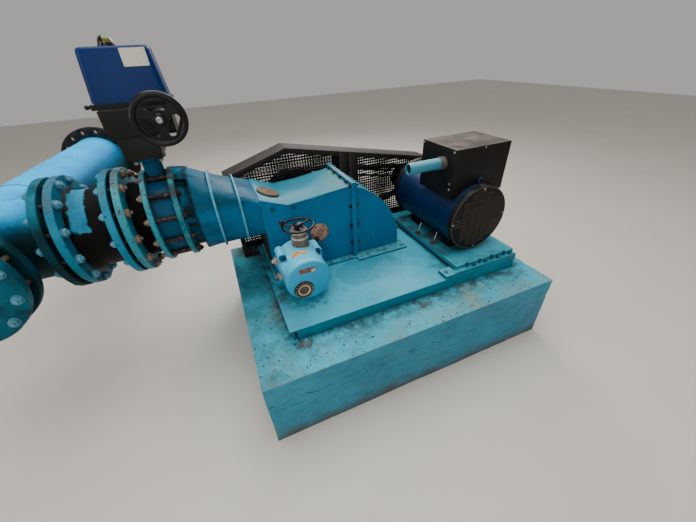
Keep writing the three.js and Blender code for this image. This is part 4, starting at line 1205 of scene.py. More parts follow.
class TURBINE_OT_base_frame(bpy.types.Operator):
    """Rolled channels, the deck plate, its welds and the anchor lugs"""
    bl_idname = "turbine.base_frame"
    bl_label = "Base frame"

    def execute(self, context):
        for node in ("base_channel_front", "base_channel_rear", "base_channel_left", "base_channel_right"):
            refined(node, "deck_paint")
        refined("deck_plate", "deck_paint", 0.0025)
        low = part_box("deck_plate")[0]
        frame_low, frame_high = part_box("base_channel_front")
        under = low.z - 0.001
        weld("deck_weld", [line((frame_low.x, frame_low.y - 0.001, under),
                                (frame_high.x, frame_low.y - 0.001, under))], 0.003, "deck_paint")
        anchor = fastener(0.0155, tip=0.012)
        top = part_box("concrete_plinth")[1].z
        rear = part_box("base_channel_rear")[1].y
        for name, x, y in (("front", -0.67, -0.507), ("front", 0.069, -0.525), ("rear", -0.67, rear + 0.035),
                           ("rear", 0.069, rear + 0.053)):
            side = "left" if x < 0 else "right"
            turned(f"anchor_pad_{name}_{side}", at("z", (x, y, top - 0.001)),
                   ring_profile(0.005, 0.024, 0, 0.0055, 0.0015), "grey_iron", segments=32)
            one_at(f"anchor_bolt_{name}_{side}", anchor, "z", (x, y, top + 0.004), "blue_nut", 3)
        corner = bmesh.new()
        block(corner, (frame_low.x - 0.026, low.y + 0.003, top),
              (frame_low.x - 0.019, low.y + 0.040, low.z + 0.001))
        block(corner, (frame_low.x - 0.040, low.y - 0.006, top - 0.001),
              (frame_low.x - 0.004, low.y + 0.042, top + 0.006))
        emit("corner_bracket", corner, "deck_paint", edge=0.001)
        return {"FINISHED"}


class TURBINE_OT_casing(bpy.types.Operator):
    """Turbine casing, hood, cover, bearings and their bolts"""
    bl_idname = "turbine.casing"
    bl_label = "Turbine casing"

    def execute(self, context):
        sizes = context.scene.turbine_sizes
        refined("turbine_inlet_casing", "teal_paint", 0.0022)
        refined("turbine_hood", "teal_paint", 0.0022)
        inlet_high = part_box("turbine_inlet_casing")[1]
        joint = inlet_high.x
        plate_thickness = 0.014
        lip = 0.013
        near, far, top = 0.019, inlet_high.y, inlet_high.z
        bolt = fastener(sizes.casing_bolt, tip=0.006)
        nut = fastener(sizes.casing_bolt, tip=0.012)
        for side, face, axis, part in (("left", joint - plate_thickness, "-x", bolt),
                                       ("right", joint + plate_thickness, "x", nut)):
            for edge, y in (("near", near + lip), ("far", far - lip)):
                row_of(f"joint_bolts_{edge}_{side}", part, axis, (face, y, top - 0.430),
                       (face, y, top - 0.022), 4, "dark_bolt", 3)
            row_of(f"joint_bolts_top_{side}", part, axis, (face, near + 0.080, top - lip),
                   (face, far - 0.080, top - lip), 4, "dark_bolt", 5)
        foot_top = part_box("deck_plate")[1].z + 0.012
        foot = fastener(sizes.casing_bolt * 1.15, tip=0.006)
        row_of("inlet_foot_bolts", foot, "z", (joint - 0.465, near, foot_top),
               (joint - 0.045, near, foot_top), 4, "blue_nut", 6)
        row_of("hood_foot_bolts", foot, "z", (joint + 0.085, 0.002, foot_top),
               (joint + 0.355, -0.004, foot_top), 3, "blue_nut", 7)
        row_of("inlet_foot_bolts_rear", foot, "z", (joint - 0.465, far - lip, foot_top),
               (joint - 0.045, far - lip, foot_top), 4, "dark_bolt", 9)
        row_of("hood_foot_bolts_rear", foot, "z", (joint + 0.085, far - lip, foot_top),
               (joint + 0.355, far - lip, foot_top), 3, "dark_bolt", 8)
        side = near + 0.026
        row_of("side_plugs", fastener(0.011, tip=0.003), "-y", (-0.642, side, 1.012), (-0.519, side, 1.000),
               2, "valve_paint", 2)
        wall_top = [(-0.698, side, 1.078), (-0.55, side, 1.019), (joint - plate_thickness, side, 1.059)]
        arc = [(-0.30 + 0.513 * math.cos(a), side, 0.570 + 0.513 * math.sin(a))
               for a in (math.radians(69 - i * 65 / 44) for i in range(45))]
        # Pale weld beads along the casing and hood edges: real welds, paler as a painted edge highlight
        weld("casing_welds", [line(wall_top[0], wall_top[1]) + line(wall_top[1], wall_top[2])[1:],
                              line((joint - 0.56, side, foot_top + 0.001),
                                   (joint - plate_thickness, side, foot_top + 0.001)),
                              line((joint - plate_thickness, side, foot_top + 0.02),
                                   (joint - plate_thickness, side, top - 0.03)),
                              line((joint + plate_thickness, side, foot_top + 0.02),
                                   (joint + plate_thickness, side, top - 0.03)),
                              line((joint + plate_thickness, side, foot_top + 0.001),
                                   (0.210, side, foot_top + 0.001)), arc], 0.0028, "weld_paint")

        cover_low, cover_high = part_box("inspection_cover")
        slope = math.atan2(0.060, 0.150)
        place = Matrix.Translation((cover_low + cover_high) / 2) @ Matrix.Rotation(slope, 4, "Y")
        turned("inspection_cover_body", place,
               [(0, -0.006), (0.066, -0.006), (0.068, -0.003), (0.068, 0.004), (0.064, 0.0065),
                (0.056, 0.0065), (0.054, 0.004), (0.014, 0.004), (0.012, 0.007), (0, 0.007)], "brown_plate",
               replaces=["inspection_cover"], segments=64)

        cap_low, cap_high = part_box("bearing_cap_front")
        centre = (cap_low + cap_high) / 2
        place = at("-y", (centre.x, cap_high.y, centre.z))
        turned("bearing_cap_front_body", place,
               [(0, 0), (0.060, 0), (0.060, 0.009), (0.057, 0.012), (0.047, 0.014), (0.046, 0.027),
                (0.043, 0.030), (0.022, 0.030), (0.020, 0.027), (0, 0.027)], "cap_iron",
               replaces=["bearing_cap_front"], segments=64)
        ring_of("bearing_cap_bolts", fastener(0.006, washer=False), "-y",
                (centre.x, cap_high.y - 0.011, centre.z), 0.0530, 6, "dark_bolt")

        rear_low, rear_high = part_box("bearing_housing_rear")
        centre = (rear_low + rear_high) / 2
        shaft = 0.0354
        turned("bearing_housing_rear_body", at("y", (centre.x, rear_low.y, centre.z)),
               [(shaft, 0), (0.095, 0), (0.095, 0.016), (0.093, 0.018), (0.074, 0.022), (0.070, 0.026),
                (0.070, 0.039), (0.067, 0.042), (shaft, 0.042)], "deep_blue_paint",
               replaces=["bearing_housing_rear"])
        ring_of("bearing_housing_bolts", fastener(0.010), "y", (centre.x, rear_low.y + 0.0175, centre.z),
                0.083, 6, "dark_bolt")
        turned("grease_nipple", at("z", (centre.x, rear_low.y + 0.03, centre.z + 0.066)),
               [(0, 0), (0.005, 0), (0.005, 0.012), (0.003, 0.016), (0.003, 0.020), (0, 0.020)], "brass",
               segments=16)
        return {"FINISHED"}


class TURBINE_OT_pipework(bpy.types.Operator):
    """Inlet reducer, valve body, dismantling joint, cast spool and their flange bolts"""
    bl_idname = "turbine.pipework"
    bl_label = "Inlet pipework"

    def execute(self, context):
        bolt = context.scene.turbine_sizes.flange_bolt
        middle_line = middle("joint_sleeve")
        rings = []
        for i in range(15):
            angle = math.radians(62 + 4 * i)
            rings.append([
                Vector((x, middle_line.y - r * math.cos(angle), middle_line.z + r * math.sin(angle)))
                for x, r in ((-1.097, 0.2475), (-1.030, 0.2365), (-1.030, 0.2395), (-1.097, 0.2505))])
        emit("reducer_top_plate", loft(bmesh.new(), rings), "reducer_paint", edge=0.0008)
        refined("inlet_reducer", "reducer_paint", 0.0025, smooth=50)
        refined("butterfly_valve_body", "valve_paint", 0.002)

        def on_line(node, profile, coat):
            low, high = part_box(node)
            turned(node + "_body", at("x", (low.x, middle_line.y, middle_line.z)), profile(high.x - low.x),
                   coat, replaces=[node])

        near_radius, joint_radius = 0.252, 0.282
        near_thick, joint_thick = 0.025, 0.034
        on_line("joint_flange_ring", lambda n: disc_profile(near_radius, 0, n, 0.0025), "flange_paint")
        on_line("joint_flange_middle", lambda n: disc_profile(joint_radius, 0, n, 0.003), "flange_paint")
        on_line("joint_sleeve", lambda n: disc_profile(0.200, 0, n), "tar_coat")
        on_line("joint_gasket", lambda n: disc_profile(0.222, 0, n, 0.001), "gasket_rubber")
        on_line("tee_gasket", lambda n: disc_profile(0.250, 0, n, 0.001), "gasket_rubber")
        thick, wide = FLANGE_THICKNESS, FLANGE_RADIUS

        def spool(n):
            return [(0, 0), (wide - 0.003, 0), (wide, 0.003), (wide, thick - 0.003), (wide - 0.003, thick),
                    (0.226, thick), (0.214, thick + 0.005), (0.207, thick + 0.015), (0.204, thick + 0.032),
                    (0.204, n - joint_thick - 0.032), (0.207, n - joint_thick - 0.015),
                    (0.214, n - joint_thick - 0.005), (0.226, n - joint_thick),
                    (joint_radius - 0.003, n - joint_thick), (joint_radius, n - joint_thick + 0.003),
                    (joint_radius, n - 0.003), (joint_radius - 0.003, n), (0, n)]

        on_line("cast_spool", spool, "bitumen_coat")

        def bolts(name, x, axis, radius, coat, seed, tip=0.007, size=bolt, first=15.0):
            ring_of(name, fastener(size, tip=tip), axis, (x, middle_line.y, middle_line.z), radius,
                    FLANGE_BOLTS, coat, math.radians(first), seed)

        def studs(name, low, high, radius, coat, size=bolt, first=15.0):
            bm = lathe(bmesh.new(), Matrix.Identity(4), rod(size / 2, 0, high - low), 16)
            ring_of(name, mesh_of(name, bm), "x", (low, middle_line.y, middle_line.z), radius, FLANGE_BOLTS,
                    coat, math.radians(first))

        reducer_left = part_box("inlet_reducer")[0].x
        ring_low, ring_high = (v.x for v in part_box("joint_flange_ring"))
        mid_low, mid_high = (v.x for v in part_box("joint_flange_middle"))
        spool_low, spool_high = (v.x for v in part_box("cast_spool"))
        tee_right = spool_low - 0.0244
        circle_near, circle_joint, circle_wide = 0.230, 0.255, 0.259
        studs("valve_studs", ring_high - 0.002, reducer_left + 0.002, circle_near, "dark_bolt", 0.023)
        bolts("valve_nuts_right", reducer_left + near_thick, "x", circle_near, "dark_bolt", 1, 0.008, 0.019)
        bolts("valve_nuts_left", ring_low, "-x", circle_near, "worn_nut", 2, 0.010, 0.019)
        studs("joint_studs", mid_low + 0.002, mid_high + 0.030, circle_joint, "grey_iron", 0.017, 0.0)
        bolts("joint_nuts_right", mid_high, "x", circle_joint, "worn_nut", 3, 0.0, 0.022, first=0.0)
        studs("spool_studs", spool_high - 0.002, mid_low + 0.002, circle_joint, "dark_bolt", 0.020, 0.0)
        bolts("spool_nuts", spool_high - joint_thick, "-x", circle_joint, "blue_nut", 4, 0.008, first=0.0)
        bolts("tee_nuts_right", spool_low + thick, "x", circle_wide, "blue_nut", 5, 0.007, 0.0225, 8.0)
        studs("tee_studs", tee_right - 0.002, spool_low + 0.002, circle_wide, "dark_bolt", 0.022, 8.0)
        bolts("tee_nuts_left", tee_right - thick, "-x", circle_wide, "blue_nut", 6, 0.007, 0.0225, 8.0)

        neck = (middle("butterfly_valve_body").x, 0.250)
        pad_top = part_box("butterfly_valve_body")[1].z
        for i, (dx, dy) in enumerate(((-0.055, -0.055), (0.055, -0.055), (0.055, 0.055), (-0.055, 0.055))):
            spot = (neck[0] + dx, neck[1] + dy, pad_top - 0.016)
            one_at(f"valve_pad_nut_{i + 1}", fastener(0.012, tip=0.004), "-z", spot, "pale_nut", i)
        return {"FINISHED"}


class TURBINE_OT_header(bpy.types.Operator):
    """Tee header, its pipe, flanges, welds and bolts"""
    bl_idname = "turbine.header"
    bl_label = "Tee header"

    def execute(self, context):
        bolt = context.scene.turbine_sizes.flange_bolt
        bore = PIPE_RADIUS - PIPE_WALL
        near, weld_at, far = -0.310, 0.330, 1.550
        blind_start, blind_end = near - 0.0904, near - 0.0544
        thick, wide = FLANGE_THICKNESS, FLANGE_RADIUS
        fit = 0.0004
        branch = at("x", HEADER_PIVOT)
        branch_end = HEADER_PIVOT.x + 0.3236
        reach = branch_end - HEADER_PIVOT.x
        run = lathe(bmesh.new(), HEADER, [(0, near), (wide - 0.003, near), (wide, near + 0.003),
                                          (wide, near + thick - 0.003), (wide - 0.003, near + thick),
                                          (PIPE_RADIUS + 0.006, near + thick),
                                          (PIPE_RADIUS, near + thick + 0.006), (PIPE_RADIUS, weld_at - fit),
                                          (0, weld_at - fit)])
        side = lathe(bmesh.new(), branch, [(0, 0), (PIPE_RADIUS, 0), (PIPE_RADIUS, reach - thick - 0.006),
                                           (PIPE_RADIUS + 0.006, reach - thick),
                                           (wide - 0.003, reach - thick), (wide, reach - thick + 0.003),
                                           (wide, reach - 0.003), (wide - 0.003, reach), (0, reach)])
        run_bore = lathe(bmesh.new(), HEADER, rod(bore, near - 0.01, 0.34))
        side_bore = lathe(bmesh.new(), branch, rod(bore, 0, reach + 0.01))
        tee = carved("tee_header", run, (("UNION", side), ("DIFFERENCE", run_bore),
                                         ("DIFFERENCE", side_bore)))
        show("tee_header_body", tee, "header_paint", replaces=["tee_header"])

        turned("header_pipe_body", HEADER, [(bore, weld_at), (PIPE_RADIUS - 0.002, weld_at),
                                            (PIPE_RADIUS, weld_at + 0.002), (PIPE_RADIUS, far - 0.001),
                                            (PIPE_RADIUS - 0.001, far), (bore, far)], "header_paint",
               replaces=["header_pipe"])
        turned("header_spacer_body", HEADER, disc_profile(0.214, near - 0.054, near - fit, 0.001), "tar_coat",
               replaces=["header_spacer"])
        turned("blind_flange_body", HEADER, disc_profile(wide, blind_start, blind_end, 0.003),
               "blind_paint", replaces=["blind_flange"])

        bolt_circle = 0.247
        holes = [circle(0.0155, (bolt_circle * math.cos(a), bolt_circle * math.sin(a)), 20)
                 for a in around(FAR_FLANGE_HOLES, math.pi / FAR_FLANGE_HOLES)]
        bm = plate(bmesh.new(), circle(wide, steps=96), [circle(PIPE_RADIUS + fit, steps=96), *holes], thick,
                   HEADER @ Matrix.Translation((0, 0, far - thick)))
        emit("header_far_flange_body", bm, "black_paint", replaces=["header_far_flange"], edge=0.0012)
        bm = bmesh.new()
        along = (HEADER.to_3x3() @ Vector((0, 0, 1))).normalized()
        for distance in (weld_at, far - thick - 0.001):
            seam = [HEADER @ Vector((PIPE_RADIUS * math.cos(a), PIPE_RADIUS * math.sin(a), distance))
                    for a in around(110)]
            sweep(bm, seam, circle(0.0045, steps=8), closed=True, up=along)
        emit("header_welds", bm, "header_paint", smooth=60)

        turn = HEADER.to_euler()
        back = (HEADER @ Matrix.Rotation(math.pi, 4, "X")).to_euler()

        def on_header(name, distance, backwards, coat, seed, tip=0.008, size=bolt * 1.1):
            ring_of(name, fastener(size, tip=tip), back if backwards else turn,
                    HEADER @ Vector((0, 0, distance)), HEADER_BOLT_CIRCLE, FLANGE_BOLTS, coat,
                    math.radians(HEADER_FIRST_BOLT), seed)

        on_header("blind_nuts", blind_start, True, "blue_nut", 1)
        on_header("blind_nuts_inner", blind_end, False, "rusty_nut", 2, 0.0)
        on_header("tee_end_nuts", near + thick, False, "blue_nut", 3)
        bm = lathe(bmesh.new(), Matrix.Identity(4), rod(0.012, 0, 0.056), 16)
        ring_of("blind_studs", mesh_of("blind_stud", bm), turn, HEADER @ Vector((0, 0, near - 0.055)),
                HEADER_BOLT_CIRCLE, FLANGE_BOLTS, "rusty_nut", math.radians(HEADER_FIRST_BOLT))
        return {"FINISHED"}


class TURBINE_OT_valve_drive(bpy.types.Operator):
    """Valve gearbox, motor housing, indicator dome and handwheel"""
    bl_idname = "turbine.valve_drive"
    bl_label = "Valve drive"

    def execute(self, context):
        refined("valve_gearbox_lower", "gearbox_paint", 0.005)
        refined("valve_gearbox_upper", "gearbox_paint", 0.006)
        low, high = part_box("valve_drive_housing")
        stations = [(0.0000, 0.004, 0.012), (0.0015, 0.0005, 0.014), (0.020, 0.0, 0.015),
                    (0.0225, 0.0015, 0.015), (0.0235, 0.0085, 0.020), (0.030, 0.0088, 0.022)]
        height = high.z - low.z
        stations += [(height - 0.016, 0.0265, 0.026), (height - 0.010, 0.0280, 0.027),
                     (height - 0.0045, 0.0315, 0.029), (height - 0.0015, 0.0355, 0.030),
                     (height, 0.0410, 0.030)]
        bm = loft(bmesh.new(), [rounded_rectangle(
            (low.x + inset, low.y + inset), (high.x - inset, high.y - inset), corner, low.z + up)
            for up, inset, corner in stations])
        emit("valve_drive_housing_body", bm, "deep_blue_paint", replaces=["valve_drive_housing"], smooth=50)

        bm = loft(bmesh.new(), [rounded_rectangle((low.x - 0.0006, low.y - 0.0006),
                                                  (high.x + 0.0006, high.y + 0.0006), 0.0155,
                                                  low.z + up) for up in (0.0005, 0.0228)])
        emit("housing_seal", bm, "gearbox_paint")
        lean = math.atan2(0.018, height - 0.04)
        face = Matrix.Translation((low.x + 0.238, low.y + 0.0238, high.z - 0.043))
        face = face @ Matrix.Rotation(-lean, 4, "X")
        outline = rounded_rectangle((-0.050, -0.034), (0.050, 0.034), 0.004, 0)
        bm = loft(bmesh.new(), [[face @ Vector((p.x, -d, p.y)) for p in outline] for d in (0, 0.0012)])
        emit("blank_plate", bm, "cream_plate")
        bm = bmesh.new()
        for x, z in ((x, z) for x in (-0.044, 0.044) for z in (-0.028, 0.028)):
            lathe(bm, face @ Matrix.Translation((x, -0.0012, z)) @ TURNS["-y"].to_matrix().to_4x4(),
                  [(0, 0), (0.0022, 0), (0.0018, 0.001), (0, 0.0012)], 12)
        emit("blank_plate_rivets", bm, "bright_steel")

        bm = bmesh.new()
        for x in (low.x + 0.016, high.x - 0.016):
            for y in (low.y + 0.016, high.y - 0.016):
                lathe(bm, at("z", (x, y, low.z + 0.0225)),
                      [(0, 0), (0.007, 0), (0.0065, 0.004), (0.0035, 0.005), (0, 0.003)], 16)
        emit("housing_screws", bm, "bright_steel")
        turned("housing_gland", at("-x", (low.x + 0.002, low.y + 0.045, low.z + 0.0115)),
               [(0, 0), (0.010, 0), (0.010, 0.006), (0.0075, 0.007), (0.0075, 0.018), (0.0095, 0.019),
                (0.0095, 0.028), (0.006, 0.031), (0.004, 0.030), (0, 0.024)], "gearbox_paint", segments=24)

        dome_low, dome_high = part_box("valve_indicator_dome")
        centre = (dome_low + dome_high) / 2
        radius = (dome_high.x - dome_low.x) / 2
        rise = dome_high.z - high.z
        profile = [(0, 0.0), (radius, 0.0), (radius, 0.006), (radius - 0.003, 0.007)]
        profile += [((radius - 0.004) * math.cos(a), 0.007 + (rise - 0.007) * math.sin(a))
                    for a in (math.radians(9 * i) for i in range(10))]
        turned("valve_indicator_dome_body", at("z", (centre.x, centre.y, high.z)), profile + [(0, rise)],
               "dark_plastic", replaces=["valve_indicator_dome"], segments=56)
        bm = bmesh.new()
        shell = radius - 0.0035
        rings = []
        for i in range(13):
            turn = math.radians(-95 + i * 100 / 12)
            ring = []
            for grow in (0.0, 0.0006):
                steps = range(9) if not grow else range(8, -1, -1)
                for k in steps:
                    lift = math.radians(10 + k * 66 / 8)
                    out = shell + grow
                    ring.append(Vector((centre.x + out * math.cos(lift) * math.cos(turn),
                                        centre.y + out * math.cos(lift) * math.sin(turn),
                                        high.z + 0.007 + (rise - 0.0065 + grow) * math.sin(lift))))
            rings.append(ring)
        loft(bm, rings)
        emit("indicator_window", bm, "indicator_green")

        spot = Vector((-1.042, 0.005, 1.542))
        handwheel("valve_handwheel", "-y", spot, 0.112, 0.0135, "valve_wheel", web=True)
        turned("valve_wheel_cap", at("-y", (spot.x, spot.y - 0.0155, spot.z)),
               [(0, 0), (0.0130, 0), (0.0130, 0.0015), (0.010, 0.003), (0.007, 0.003), (0.005, 0.0015),
                (0, 0.0015)], "bright_steel", "valve_wheel", segments=32)
        return {"FINISHED"}


class TURBINE_OT_vane_drive(bpy.types.Operator):
    """Guide-vane drive with its blank label patches, dial, lugs, glands and handwheel"""
    bl_idname = "turbine.vane_drive"
    bl_label = "Guide-vane drive"

    def execute(self, context):
        low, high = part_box("vane_drive_body")
        centre = middle("vane_drive_bracket")
        axis = at("-y", (centre.x, high.y, centre.z))
        depth = high.y - low.y
        flare, narrow = 0.136, 0.128
        body = lathe(bmesh.new(), axis, [(0, 0), (flare - 0.002, 0), (flare, 0.002), (flare, 0.020),
                                         (flare - 0.003, 0.023), (flare - 0.004, 0.030),
                                         (narrow + 0.002, depth - 0.030), (narrow + 0.003, depth - 0.027),
                                         (narrow + 0.003, depth - 0.014), (narrow, depth - 0.007),
                                         (narrow - 0.006, depth - 0.002), (narrow - 0.014, depth),
                                         (0, depth)])
        parts = []
        ears = ((-0.103, 0.090), (0.106, 0.078))
        for x, z in ears:
            ear = at("-y", (centre.x + x, high.y - 0.004, centre.z + z))
            parts.append(("UNION", lathe(bmesh.new(), ear, rod(0.027, 0, 0.096), 40)))
            rib = block(bmesh.new(), (centre.x + x - 0.0265, high.y - 0.0995, centre.z + 0.020),
                        (centre.x + x + 0.0265, high.y - 0.0045, centre.z + z))
            parts.append(("UNION", rib))
        for x, z in ears:
            pocket = at("-y", (centre.x + x, high.y - 0.100, centre.z + z))
            parts.append(("DIFFERENCE", lathe(bmesh.new(), pocket, [
                (0, 0), (0.022, 0), (0.022, 0.050), (0.014, 0.066), (0, 0.070)], 40)))
        shape = carved("vane_drive_body", body, parts)
        show("vane_drive_body_shell", rounded("vane_drive_body", shape, 0.003), "vane_paint",
             replaces=["vane_drive_body"])
        for i, (x, z) in enumerate(ears):
            turned(f"lug_screw_{i + 1}", at("-y", (centre.x + x, high.y - 0.099, centre.z + z)),
                   [(0, 0), (0.019, 0), (0.019, 0.002), (0.0165, 0.0025), (0.0165, 0.009), (0.0145, 0.011),
                    (0.008, 0.011), (0.007, 0.007), (0, 0.007)], "valve_paint", segments=32)
        turned("vane_drive_bracket_body", axis, rod(0.084, -0.0005, -0.0895), "teal_paint",
               replaces=["vane_drive_bracket"])
        ring_of("bracket_bolts", fastener(0.012, tip=0.006), "y", (centre.x, high.y - 0.001, centre.z), 0.114,
                6, "dark_bolt", math.radians(30))

        face = low.y
        dial = at("-y", (centre.x - 0.038, face, centre.z - 0.050))
        turned("dial_ring", dial, [(0, -0.001), (0.057, -0.001), (0.057, 0.003), (0.054, 0.0065),
                                   (0.043, 0.0065), (0.041, 0.003), (0, 0.003)], "dark_bolt", segments=64)
        turned("dial_band", dial, [(0.025, 0.002), (0.0385, 0.002), (0.037, 0.0085), (0.0265, 0.0085)],
               "copper", segments=64)
        turned("dial_cap", dial, [(0, 0.002), (0.0215, 0.002), (0.0215, 0.005), (0.018, 0.0095),
                                  (0.012, 0.0095), (0.011, 0.0075), (0, 0.0075)], "grey_iron", segments=48)
        tick = block(bmesh.new(), (-0.0050, -0.0022, -0.0003), (0.0050, 0.0022, 0.0012))
        ring_of("dial_ticks", mesh_of("dial_tick", tick, outwards=False), "-y",
                dial.translation + Vector((0, -0.0065, 0)), 0.0485, 20, "pale_nut", facing=1.0)
        for i, (low_corner, high_corner, at_face) in enumerate((
                ((centre.x - 0.050, centre.z + 0.058), (centre.x + 0.046, centre.z + 0.088), True),
                ((centre.x - 0.057, 0), (centre.x + 0.027, 0.036), False))):
            bm = bmesh.new()
            if at_face:
                x0, z0 = low_corner
                x1, z1 = high_corner
                outline = rounded_rectangle((x0, z0), (x1, z1), 0.003, 0, 4)
                loft(bm, [[Vector((p.x, face - d, p.y)) for p in outline] for d in (-0.0005, 0.0006)])
            else:
                start, end = (math.atan2(math.sqrt(narrow ** 2 - dx ** 2), dx)
                              for dx in (low_corner[0] - centre.x, high_corner[0] - centre.x))
                rings = []
                for k in range(13):
                    a = start + (end - start) * k / 12
                    ring = []
                    for y, out in ((face + 0.082, 0.0), (face + 0.124, 0.0), (face + 0.124, 0.0008),
                                   (face + 0.082, 0.0008)):
                        r = narrow + 0.0017 + 0.0103 * (y - face - 0.030) + out
                        ring.append(Vector((centre.x + r * math.cos(a), y, centre.z + r * math.sin(a))))
                    rings.append(ring)
                loft(bm, rings)
            emit(f"blank_patch_{i + 1}", bm, "face_label" if at_face else "worn_label")
        for i, (y, z) in enumerate(((high.y - 0.050, centre.z + 0.049), (high.y - 0.058, centre.z - 0.055))):
            reach = math.sqrt(flare ** 2 - (z - centre.z) ** 2)
            slab(f"gland_block_{i + 1}", (centre.x - reach - 0.016, y - 0.018, z - 0.022),
                 (centre.x - reach + 0.014, y + 0.018, z + 0.020), "pale_nut", edge=0.002)
            turned(f"cable_gland_{i + 1}", at("-x", (centre.x - reach - 0.015, y, z)),
                   [(0, 0), (0.0155, 0), (0.0155, 0.010), (0.0125, 0.011), (0.0125, 0.018), (0.008, 0.020),
                    (0, 0.016)], "worn_nut" if i else "pale_nut", segments=6)
        neck_low, neck_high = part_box("vane_drive_neck")
        neck = (neck_low + neck_high) / 2
        bore = 0.0124
        saddle = lathe(bmesh.new(), axis, rod(flare - 0.005, -0.06, depth + 0.06))
        collar = lathe(bmesh.new(), at("z", (neck.x, neck.y, 0)), [
            (0, neck_low.z), (0.050, neck_low.z), (0.050, neck_high.z - 0.052), (0.045, neck_high.z - 0.046),
            (0.045, neck_high.z - 0.020), (0.049, neck_high.z - 0.016), (0.049, neck_high.z - 0.003),
            (0.047, neck_high.z), (0, neck_high.z)], 56)
        hole = lathe(bmesh.new(), at("z", (neck.x, neck.y, 0)),
                     rod(bore, neck_high.z - 0.052, neck_high.z + 0.01), 40)
        shape = carved("vane_drive_neck", collar, (("DIFFERENCE", saddle), ("DIFFERENCE", hole)))
        show("vane_drive_neck_body", shape, "neck_iron", replaces=["vane_drive_neck"])
        spot = Vector((neck.x, neck.y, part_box("vane_handwheel")[0].z + 0.060))
        handwheel("vane_handwheel", "z", spot, 0.096, 0.0075, "vane_wheel", web=False)
        bm = sweep(bmesh.new(), line((-0.407, 0.0, 0.768), (-0.345, 0.040, 0.661), 0.05),
                   circle(0.005, steps=14))
        emit("locking_rod", bm, "bright_steel")
        slab("rod_clip", (-0.418, -0.008, 0.762), (-0.396, 0.020, 0.784), "dark_bolt", edge=0.002)
        return {"FINISHED"}


